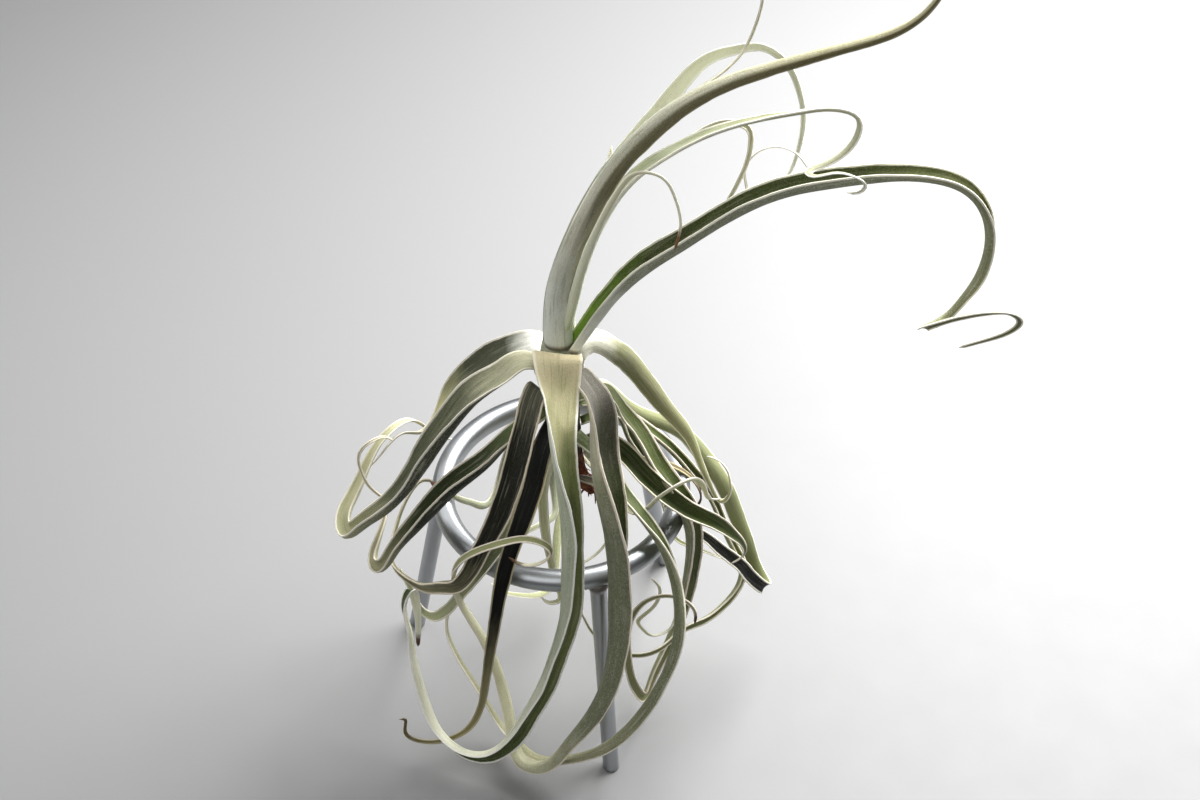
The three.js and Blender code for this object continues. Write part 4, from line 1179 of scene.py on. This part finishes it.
@dataclass(frozen=True)
class RingStand:
    """A round rod bent into a ring, on three splayed legs that are welded under it.

    legs gives each leg's place round the ring and seam_turn that of the joint in the rod, in
    degrees. The insets keep the dressed rods just inside their solids. A leg begins leg_start times
    the rod's radius under the rod's middle, and foot_places are its last circles, from its foot.
    """

    ring_radius: float = 50.0
    ring_height: float = 109.0
    rod_radius: float = 4.75
    rod_inset: float = 0.02
    seam_turn: float = 110.0
    seam_width: float = 0.9
    seam_swell: float = 0.06
    seam_dullness: float = 0.35
    leg_radius: float = 3.5
    leg_inset: float = 0.01
    leg_start: float = 0.55
    foot_circle: float = 69.0
    foot_chamfer: float = 0.5
    foot_places: tuple[float, float, float] = (-2.0, -0.8, 6.0)
    legs: tuple[tuple[str, float], ...] = (("front", -72.0), ("back", 48.0), ("left", 168.0))
    weld_from: float = 0.6
    weld_reach: float = 4.5
    weld_swell: float = 1.1
    weld_ripple: float = 0.12
    weld_ripples: int = 9
    ring_steps: int = 180
    weld_steps: int = 14
    leg_steps: int = 30
    sides: int = 40

    def ring_surface(self) -> Surface:
        """The ring: a rod with a faint swell where its ends were joined.

        Returns:
            The ring's surface.
        """
        turn = np.linspace(0, FULL_TURN, self.ring_steps, endpoint=False)[:, None]
        side = np.linspace(0, FULL_TURN, self.sides, endpoint=False)[None, :]
        from_seam = (turn - math.radians(self.seam_turn)) * self.ring_radius
        seam = np.exp(-((from_seam / self.seam_width) ** 2))
        radius = self.rod_radius - self.rod_inset + self.seam_swell * seam
        reach = self.ring_radius + radius * np.cos(side)
        rings = around_axis(np.zeros(3), reach, turn, self.ring_height + radius * np.sin(side))
        values = {
            "around": side / FULL_TURN,
            "length": turn * self.ring_radius,
            "weld": seam * self.seam_dullness,
        }
        surface = Surface()
        surface.add_rings(rings, values, loop=True)
        return surface

    def leg_surface(self, degrees: float) -> Surface:
        """A leg: flared into its weld at the top, chamfered and cut level at the foot.

        Args:
            degrees: its place round the ring.

        Returns:
            The leg's surface.
        """
        angle = math.radians(degrees)
        top = around_axis(np.zeros(3), self.ring_radius, angle, self.ring_height)
        foot = around_axis(np.zeros(3), self.foot_circle, angle, 0.0)
        way = unit(foot - top)
        first = unit(np.cross(way, [0.0, 0.0, 1.0]))
        second = np.cross(way, first)
        length = float(np.linalg.norm(foot - top))
        weld_end = self.rod_radius + self.weld_reach
        places = np.concatenate(
            [
                np.linspace(self.rod_radius * self.leg_start, weld_end, self.weld_steps),
                np.linspace(weld_end + 1, length + self.foot_places[0], self.leg_steps),
                length + np.array(self.foot_places[1:]),
            ]
        )
        side = np.linspace(0, FULL_TURN, self.sides, endpoint=False)[None, :]
        flare = 1.0 - smoothstep(places, self.rod_radius - self.weld_from, weld_end)
        radius = (self.leg_radius - self.leg_inset + self.weld_swell * flare**2)[:, None]
        ripple = self.weld_ripple * np.sin(self.weld_ripples * side + 1.3)
        radius = radius + ripple * (flare * (1 - flare) * 4)[:, None]
        spokes = first * np.cos(side)[..., None] + second * np.sin(side)[..., None]
        rings = top + way * places[:, None, None] + spokes * radius[..., None]
        rings = np.concatenate([rings, foot + spokes * (self.leg_radius - self.foot_chamfer)])
        below_floor = np.minimum(rings[..., 2:], 0.0)
        rings = rings - below_floor / way[2] * way
        rings[-2] = rings[-2] - way * (self.foot_chamfer / abs(way[2]))
        values = {
            "around": side / FULL_TURN,
            "length": np.append(places, length)[:, None],
            "weld": np.append(flare, 0.0)[:, None] ** 2,
        }
        surface = Surface()
        surface.add_rings(rings, values)
        return surface

    def build(self, frame: RowFrame) -> None:
        """Builds the ring and the legs in place of their solids.

        Args:
            frame: the row's frame.
        """
        metal = MetalFinish().material("polished_steel")
        place_piece(self.ring_surface().build("ring_rod", frame, metal), "stand_ring")
        for name, degrees in self.legs:
            made = self.leg_surface(degrees).build(f"leg_{name}_rod", frame, metal)
            place_piece(made, f"stand_leg_{name}")


# Plant ----------------------------------------------------------------------------------------


@dataclass(frozen=True)
class Stem:
    """The short trunk, narrowing downwards to a dry base with husks and wiry roots.

    profile lists x, y, z of its middle and its radius there, from the top down. furrows are waves
    round the trunk: height, number and slant. The husks stand in a spiral above husk_low, each
    husk_turn degrees on from the last, and their waves have a height and a number. Limits are those
    of a seeded draw: a husk's length, its width as a share of the trunk's radius and its lean
    outwards; a root's height, its length, and how each of its steps drops and turns.
    """

    profile: tuple[tuple[float, float, float, float], ...] = (
        (0, 0, 196, 7.0),
        (0, 0, 190, 7.8),
        (0, 0, 176, 7.8),
        (1, 0, 158, 7.4),
        (2, 0, 140, 6.6),
        (4, 1, 126, 5.4),
        (8, 2, 113, 3.6),
        (13, 3, 103, 1.2),
    )
    trunk_end: float = 103.5
    trunk_steps: int = 70
    trunk_sides: int = 48
    trunk_share: float = 0.96
    furrow_depth: float = 0.03
    furrows: tuple[Point, ...] = ((0.25, 11, 0.05), (0.15, 23, -0.11))
    husk_count: int = 26
    husk_seed: int = 41
    husk_low: float = 112.0
    husk_rise: float = 44.0
    husk_turn: float = 137.5
    husk_grid: tuple[int, int] = (9, 7)
    husk_lengths: Limits = (7.0, 15.0)
    husk_widths: Limits = (0.45, 0.8)
    husk_leans: Limits = (0.15, 0.5)
    husk_thickness: float = 0.3
    husk_gap: float = 0.15
    husk_flare: float = 2.2
    husk_skew: float = 0.3
    husk_point: float = 2.2
    side_waves: tuple[float, float] = (0.25, 7)
    end_waves: tuple[float, float] = (0.12, 5)
    husk_tone: float = 0.37
    root_count: int = 9
    root_seed: int = 17
    root_steps: int = 4
    root_spacing: float = 0.8
    root_heights: Limits = (104.0, 122.0)
    root_lengths: Limits = (4.0, 10.0)
    root_drops: Limits = (-1.6, -0.2)
    root_turns: Limits = (-0.9, 0.9)
    root_radii: tuple[float, float] = (0.45, 0.15)
    root_tone: float = 0.61

    def at(self, height: Numbers) -> tuple[np.ndarray, np.ndarray]:
        """The stem at heights.

        Args:
            height: one or more heights above the floor.

        Returns:
            The middles there, on the floor plane, and the radii.
        """
        table = np.array(self.profile)[::-1]
        x, y, radius = (np.interp(height, table[:, 2], table[:, k]) for k in (0, 1, 3))
        return np.stack([x, y, 0 * x], axis=-1), radius

    def add_trunk(self, surface: Surface) -> None:
        """Adds the trunk, with shallow lengthwise furrows.

        Args:
            surface: what it is added to.
        """
        height = np.linspace(self.profile[0][2], self.trunk_end, self.trunk_steps)[:, None]
        side = -np.linspace(0, FULL_TURN, self.trunk_sides, endpoint=False)[None, :]
        middle, radius = self.at(height)
        furrow = sum(high * np.sin(number * side + slant * height) for high, number, slant in self.furrows)
        reach = radius * (self.trunk_share + self.furrow_depth * furrow)
        rings = around_axis(middle, reach, side, height)
        surface.add_rings(rings, {"around": side / FULL_TURN, "length": height})

    def add_husks(self, surface: Surface) -> None:
        """Adds the torn remains of old leaf bases, in a spiral round the lower trunk.

        Args:
            surface: what they are added to.
        """
        draw = np.random.default_rng(self.husk_seed)
        steps = np.linspace(0, 1, self.husk_grid[0])[:, None]
        spread = np.linspace(-1, 1, self.husk_grid[1])[None, :]
        ragged, jags = self.side_waves
        torn, tears = self.end_waves
        for k in range(self.husk_count):
            height = self.husk_low + self.husk_rise * k / self.husk_count
            radius = self.at(height)[1]
            length = draw.uniform(*self.husk_lengths)
            width = draw.uniform(*self.husk_widths) * radius
            lean = draw.uniform(*self.husk_leans)
            taper = (1 - steps**self.husk_point) * (1 + ragged * np.sin(jags * spread + k))
            turn = np.radians(self.husk_turn * k) + spread * taper * width / radius
            drop = height - steps * length * (1 + torn * np.sin(tears * spread + 2 * k))
            middle, body = self.at(drop)
            flare = lean * self.husk_flare * steps**2 * (1 + self.husk_skew * spread)
            reach = body + self.husk_gap + flare
            outer = around_axis(middle, reach, turn, drop)
            inner = around_axis(middle, reach - self.husk_thickness, turn, drop)
            rings = np.concatenate([outer, inner[:, ::-1]], axis=1)
            surface.add_rings(rings, {"around": k * self.husk_tone, "length": steps * length})

    def add_roots(self, surface: Surface) -> None:
        """Adds short wiry roots that hang from the base.

        Args:
            surface: what they are added to.
        """
        draw = np.random.default_rng(self.root_seed)
        for k in range(self.root_count):
            height = draw.uniform(*self.root_heights)
            middle, radius = self.at(height)
            angle = draw.uniform(0, FULL_TURN)
            reach = draw.uniform(*self.root_lengths)
            route = [around_axis(middle, 0.5 * radius, angle, height)]
            for _ in range(self.root_steps):
                step = np.array([np.cos(angle), np.sin(angle), draw.uniform(*self.root_drops)])
                route.append(route[-1] + unit(step) * reach / 3)
                angle += draw.uniform(*self.root_turns)
            points = spline_points(np.array(route), self.root_spacing)
            surface.add_strand(points, np.linspace(*self.root_radii, len(points)), k * self.root_tone)

    def build(self, frame: RowFrame) -> None:
        """Builds the stem in place of its solid.

        Args:
            frame: the row's frame.
        """
        surface = Surface()
        self.add_trunk(surface)
        self.add_husks(surface)
        self.add_roots(surface)
        made = surface.build("stem_husk", frame, HuskFinish().material("dry_husk"))
        place_piece(made, "stem")


@dataclass(frozen=True)
class Spine:
    """A leaf's middle line.

    normals say which way the upper face looks and sides which way is across the leaf. distance is
    measured from the base, as a column.
    """

    points: np.ndarray
    normals: np.ndarray
    sides: np.ndarray
    distance: np.ndarray

    @property
    def fraction(self) -> np.ndarray:
        """Share of the length, from 0 at the base to 1 at the tip."""
        return self.distance / self.distance[-1]


@dataclass(frozen=True)
class Leaf:
    """One leaf, swept along its route with a rolled section and thin, slightly wavy margins.

    rib and edge are its thickness along the middle and at the margins; slenderness limits the rib
    to a share of the span. The gaps keep the base off the stem, and the base clasps the stem over
    collar_reach times its span. A leaf whose first step rises more than climb starts upright. Each
    drift has a share and a wavelength. wave is the height of the margins' waves and pale_margin the
    width of the finish's pale edge: each has a fixed part and a share of the span.

    What changes along the leaf is a column with a value for each point of the spine, and place is a
    row across a face, from -1 at the left margin to 1 at the right.
    """

    plan: LeafPlan
    stem: Stem
    seed: int
    rib: float = 1.9
    least_rib: float = 0.6
    edge: float = 0.5
    slenderness: float = 0.24
    tuft_gap: float = 0.3
    side_gap: float = 0.42
    climb: float = 2.0
    collar_reach: float = 1.0
    tip_length: float = 3.0
    least_tip: float = 0.02
    foot_length: float = 3.5
    span_drift: tuple[float, float] = (0.03, 31)
    roll_drift: tuple[float, float] = (0.08, 45)
    least_bend: float = 0.05
    wavelength: float = 13.0
    wave: tuple[float, float] = (0.08, 0.022)
    pale_margin: tuple[float, float] = (0.5, 0.035)
    margin_bulge: float = 0.45
    ridge_height: float = 0.09
    ridge_waves: float = 21.0
    ridge_phase: float = 0.4
    ridged_spans: Limits = (6.0, 13.0)
    tones: Limits = (0.2, 0.8)
    fine_spacing: float = 1.0
    spacing: float = 2.0
    columns: int = 17

    def control_points(self) -> np.ndarray:
        """The route, its first point moved out to its seat on the stem.

        Returns:
            The points, one a row.
        """
        points = np.array(self.plan.route, dtype=float)
        if self.plan.growth is Growth.TUFT:
            points[0, 2] = self.stem.profile[0][2] + self.tuft_gap
            return points
        middle, radius = self.stem.at(points[0, 2])
        spoke = (points[0] - middle) * (1.0, 1.0, 0.0)
        rise = abs(unit(points[1] - points[0])[2])
        half_rib = min(self.rib, self.slenderness * self.plan.spans[0]) / 2
        seat = unit(spoke) * (radius + self.side_gap + rise * half_rib) + middle
        points[0, :2] = seat[:2]
        return points

    def facing(self, points: np.ndarray) -> np.ndarray:
        """The way that the upper face looks at the base.

        Args:
            points: the control points.

        Returns:
            A vector.
        """
        if self.plan.growth is Growth.TUFT:
            angle = math.radians(self.plan.faces)
            return np.array([math.cos(angle), math.sin(angle), 0.0])
        if points[1, 2] > points[0, 2] + self.climb:
            middle, _ = self.stem.at(points[0, 2])
            return (middle - points[0]) * (1.0, 1.0, 0.0)
        return np.array([0.0, 0.0, 1.0])

    @cached_property
    def spine(self) -> Spine:
        """The middle line, with the section's twist.

        Returns:
            The spine.
        """
        control = self.control_points()
        points = spline_points(control, self.fine_spacing)
        ends = (points[1:2] - points[:1], points[-1:] - points[-2:-1])
        tangents = unit(np.concatenate([ends[0], points[2:] - points[:-2], ends[1]]))
        normals = []
        normal = self.facing(control)
        for tangent in tangents:
            normal = unit(normal - normal.dot(tangent) * tangent)
            normals.append(normal)
        steps = np.linalg.norm(np.diff(points, axis=0), axis=1)
        distance = np.concatenate([[0.0], np.cumsum(steps)])
        keep = np.unique(np.linspace(0, len(points) - 1, int(distance[-1] / self.spacing) + 1).astype(int))
        tangents, distance, normals = tangents[keep], distance[keep, None], np.array(normals)[keep]
        twist = np.radians(along(self.plan.twists, distance / distance[-1]))
        twisted = normals * np.cos(twist) + np.cross(tangents, normals) * np.sin(twist)
        return Spine(points[keep], twisted, np.cross(tangents, twisted), distance)

    def drift(self, number: int, wavelength: float) -> np.ndarray:
        """Slow wandering along the leaf, another one for each number."""
        return Drift(self.seed + number, wavelength).at(self.spine.distance)

    @cached_property
    def tip(self) -> np.ndarray:
        """How the last stretch rounds off, from 1 to nearly 0."""
        into_tip = np.clip((self.spine.distance - self.spine.distance[-1]) / self.tip_length + 1, 0, 1)
        return np.sqrt(np.clip(1 - into_tip**2, self.least_tip, 1))

    @cached_property
    def span(self) -> np.ndarray:
        """Widths straight across the leaf, with the drift and the rounded tip.

        Returns:
            A column.
        """
        share, wavelength = self.span_drift
        spans = along(self.plan.spans, self.spine.fraction)
        return spans * (1 + share * self.drift(0, wavelength)) * self.tip

    @cached_property
    def bend(self) -> np.ndarray:
        """How far the section is rolled.

        Returns:
            Angles in radians, never quite 0.
        """
        share, wavelength = self.roll_drift
        roll = np.radians(along(self.plan.roll.value, self.spine.fraction))
        roll = roll * (1 + share * self.drift(1, wavelength))
        return np.where(np.abs(roll) < self.least_bend, self.least_bend, roll)

    @cached_property
    def radius(self) -> np.ndarray:
        """Radii of the rolled section, negative where it is rolled backwards."""
        return np.sign(self.bend) * self.span / 2 / np.sin(np.minimum(np.abs(self.bend), np.pi) / 2)

    @cached_property
    def place(self) -> np.ndarray:
        """Places across a face, closer together towards the margins."""
        return np.sin(np.linspace(-np.pi / 2, np.pi / 2, self.columns))[None, :]

    def half_thickness(self) -> np.ndarray:
        """Half the leaf's thickness, most along the rib and least at the margins.

        Returns:
            A grid over a face.
        """
        rib = np.maximum(np.minimum(self.rib, self.slenderness * self.span), self.least_rib) * self.tip
        edge = np.minimum(self.edge, rib)
        return (edge + (rib - edge) * (1 - self.place**2)) / 2

    def margin_wave(self) -> np.ndarray:
        """Slow waves of both margins.

        Returns:
            A grid over a face.
        """
        right, left = (self.drift(number, self.wavelength) for number in (2, 3))
        wave = (right * (self.place > 0) + left * (self.place < 0)) * np.abs(self.place) ** 4
        return wave * (self.wave[0] + self.wave[1] * self.span)

    def ridges(self) -> np.ndarray:
        """Fine lengthwise ridges of a broad leaf's upper face, which fade out at the margins."""
        height = self.ridge_height * smoothstep(self.span, *self.ridged_spans)
        return height * np.cos(self.place * self.ridge_waves + self.ridge_phase) * (1 - self.place**4)

    def face(self, offset: np.ndarray) -> np.ndarray:
        """One face of the leaf.

        Args:
            offset: distances of the face from the section's middle.

        Returns:
            Points, as spine points x places x 3.
        """
        spine, radius = self.spine, self.radius
        angle = self.place * self.bend / 2
        reach = (radius - offset) * np.sin(angle)
        rise = radius * np.cos(self.bend / 4) - (radius - offset) * np.cos(angle)
        swept = spine.points[:, None] + spine.sides[:, None] * reach[..., None]
        swept = swept + spine.normals[:, None] * rise[..., None]
        return swept if self.plan.growth is Growth.TUFT else self.clasped(swept, radius * angle, offset)

    def clasped(self, swept: np.ndarray, arc: np.ndarray, offset: np.ndarray) -> np.ndarray:
        """Bends the base of a face round the stem, fading out along the leaf.

        Args:
            swept: the face's points.
            arc: their distances across the leaf, measured along the section.
            offset: their distances from the section's middle.

        Returns:
            The clasping points.
        """
        spine = self.spine
        middle, radius = self.stem.at(self.plan.route[0][2])
        share = 1 - smoothstep(spine.distance, 0.0, self.collar_reach * self.plan.spans[0])
        spokes = (spine.points - middle) * (1.0, 1.0, 0.0)
        reach = np.maximum(np.linalg.norm(spokes, axis=1), radius)[:, None]
        turn = np.sign(np.cross(spokes, spine.sides)[:, 2:]) * arc / reach
        flat = spine.points[:, None] + spine.normals[:, None] * (offset + 0 * arc)[..., None] - middle
        x, y, z = flat[..., 0], flat[..., 1], flat[..., 2]
        cos, sin = np.cos(turn), np.sin(turn)
        turned = np.stack([x * cos - y * sin, x * sin + y * cos, z], axis=-1)
        return swept + (turned + middle - swept) * share[..., None]

    def values(self) -> dict[str, Numbers]:
        """What the leaf's finish reads.

        Returns:
            Values under each name: edge is the distance from the nearer margin as a share of the
            pale margin's width.
        """
        plan, spine, place = self.plan, self.spine, self.place
        across = np.concatenate([place, [[1.0]], place[:, ::-1], [[-1.0]]], axis=1)
        width = np.abs(self.radius * self.bend)
        pale_margin = self.pale_margin[0] + self.pale_margin[1] * self.span
        in_tuft = plan.growth is Growth.TUFT
        return {
            "across": across,
            "upper": np.concatenate([0 * place + 1, [[0.5]], 0 * place, [[0.5]]], axis=1),
            "distance": spine.distance,
            "fraction": spine.fraction,
            "edge": (1 - np.abs(across)) * width / 2 / pale_margin,
            "dry": smoothstep(spine.fraction, 1 - plan.dry, 1.0) if plan.dry else 0.0,
            "foot": 1 - smoothstep(spine.distance, 0.0, self.foot_length) if in_tuft else 0.0,
            "tone": np.random.default_rng(self.seed).uniform(*self.tones),
        }

    def surface(self) -> Surface:
        """The leaf's surface, with the values that its finish reads.

        Returns:
            The surface.
        """
        half, lift = self.half_thickness(), self.margin_wave()
        upper = self.face(half + lift + self.ridges())
        under = self.face(lift - half)[:, ::-1]
        left_out = (upper[:, :1] - upper[:, 1:2]) * self.margin_bulge
        right_out = (upper[:, -1:] - upper[:, -2:-1]) * self.margin_bulge
        left = (upper[:, :1] + under[:, -1:]) / 2 + left_out
        right = (upper[:, -1:] + under[:, :1]) / 2 + right_out
        surface = Surface()
        surface.add_rings(np.concatenate([upper, right, under, left], axis=1), self.values())
        return surface


@dataclass(frozen=True)
class Plant:
    """The stem and all the leaves."""

    stem: Stem = Stem()
    leaves: tuple[LeafPlan, ...] = LEAVES
    first_seed: int = 100
    seed_step: int = 7

    def build(self, frame: RowFrame) -> None:
        """Builds every piece of the plant in place of its solid.

        Args:
            frame: the row's frame.
        """
        self.stem.build(frame)
        shared = {coat: finish.material(coat.value) for coat, finish in FINISHES.items()}
        for index, plan in enumerate(self.leaves):
            surface = Leaf(plan, self.stem, self.first_seed + self.seed_step * index).surface()
            own = OWN_FINISHES.get(plan.name)
            material = own.material(f"{plan.name}_skin") if own else shared[plan.coat]
            place_piece(surface.build(f"{plan.name}_blade", frame, material), plan.name)


# Studio ---------------------------------------------------------------------------------------


@dataclass(frozen=True)
class SoftLight:
    """A square soft light that looks at a point."""

    name: str
    place: Point
    target: Point
    size: float
    watts: float

    def build(self, frame: RowFrame) -> None:
        """Adds the light.

        Args:
            frame: the row's frame.
        """
        lamp = bpy.data.lights.new(self.name, "AREA")
        lamp.size = self.size * MM
        lamp.energy = self.watts
        made = add_to_scene(self.name, lamp)
        made.location = frame.place(self.place)
        way = Vector(frame.place(self.target)) - made.location
        made.rotation_euler = way.to_track_quat("-Z", "Y").to_euler()


@dataclass(frozen=True)
class Studio:
    """Camera, floor, surround and lights: the key lies behind on the right, the fill in front.

    The camera stands in front of the stand and looks down by camera_pitch degrees.
    """

    camera_place: Point = (16.5, -671.84, 871.45)
    camera_pitch: float = 46.5
    lens: float = 72.0
    sensor: float = 36.0
    far_clip: float = 50.0
    floor_half: float = 6.0
    floor_drop: float = 0.0002
    backdrop: Colour = (0.86, 0.87, 0.88, 1.0)
    backdrop_strength: float = 0.06
    lights: tuple[SoftLight, ...] = (
        SoftLight("key", (400, 385, 600), (315, 180, 100), 600, 18.6),
        SoftLight("rim", (-350, 200, 500), (0, 50, 100), 600, 2.0),
        SoftLight("fill", (-250, -750, 950), (0, 0, 150), 900, 4.5),
    )

    def build(self, frame: RowFrame) -> None:
        """Builds the studio round the part.

        Args:
            frame: the row's frame.
        """
        self.add_camera(frame)
        self.add_floor()
        self.add_surround()
        for light in self.lights:
            light.build(frame)

    def add_camera(self, frame: RowFrame) -> None:
        """Adds the camera.

        Args:
            frame: the row's frame.
        """
        data = bpy.data.cameras.new("camera")
        data.sensor_width = self.sensor
        data.lens = self.lens
        data.clip_end = self.far_clip
        made = add_to_scene("camera", data)
        made.location = Vector(self.camera_place) * MM + frame.axis
        made.rotation_euler = (math.radians(90.0 - self.camera_pitch), 0.0, 0.0)
        bpy.context.scene.camera = made

    def add_floor(self) -> None:
        """Adds a square floor, in metres, just under the feet."""
        half = self.floor_half
        corners = [(-half, -half), (half, -half), (half, half), (-half, half)]
        mesh = bpy.data.meshes.new("floor")
        mesh.from_pydata([(x, y, -self.floor_drop) for x, y in corners], [], [(0, 1, 2, 3)])
        mesh.materials.append(FloorFinish().material("floor_paper"))
        made = add_to_scene("floor", mesh)

    def add_surround(self) -> None:
        """Sets an even pale surround."""
        world = bpy.data.worlds.new("surround")
        world.use_nodes = True
        background = world.node_tree.nodes["Background"]
        background.inputs["Color"].default_value = self.backdrop
        background.inputs["Strength"].default_value = self.backdrop_strength
        bpy.context.scene.world = world


def main() -> None:
    """Builds the scene."""
    logging.basicConfig(level=logging.INFO, format="%(name)s: %(message)s")
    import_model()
    bpy.context.scene.view_settings.view_transform = "Standard"
    frame = RowFrame.of_ring()
    Studio().build(frame)
    RingStand().build(frame)
    Plant().build(frame)


if __name__ == "__main__":
    main()
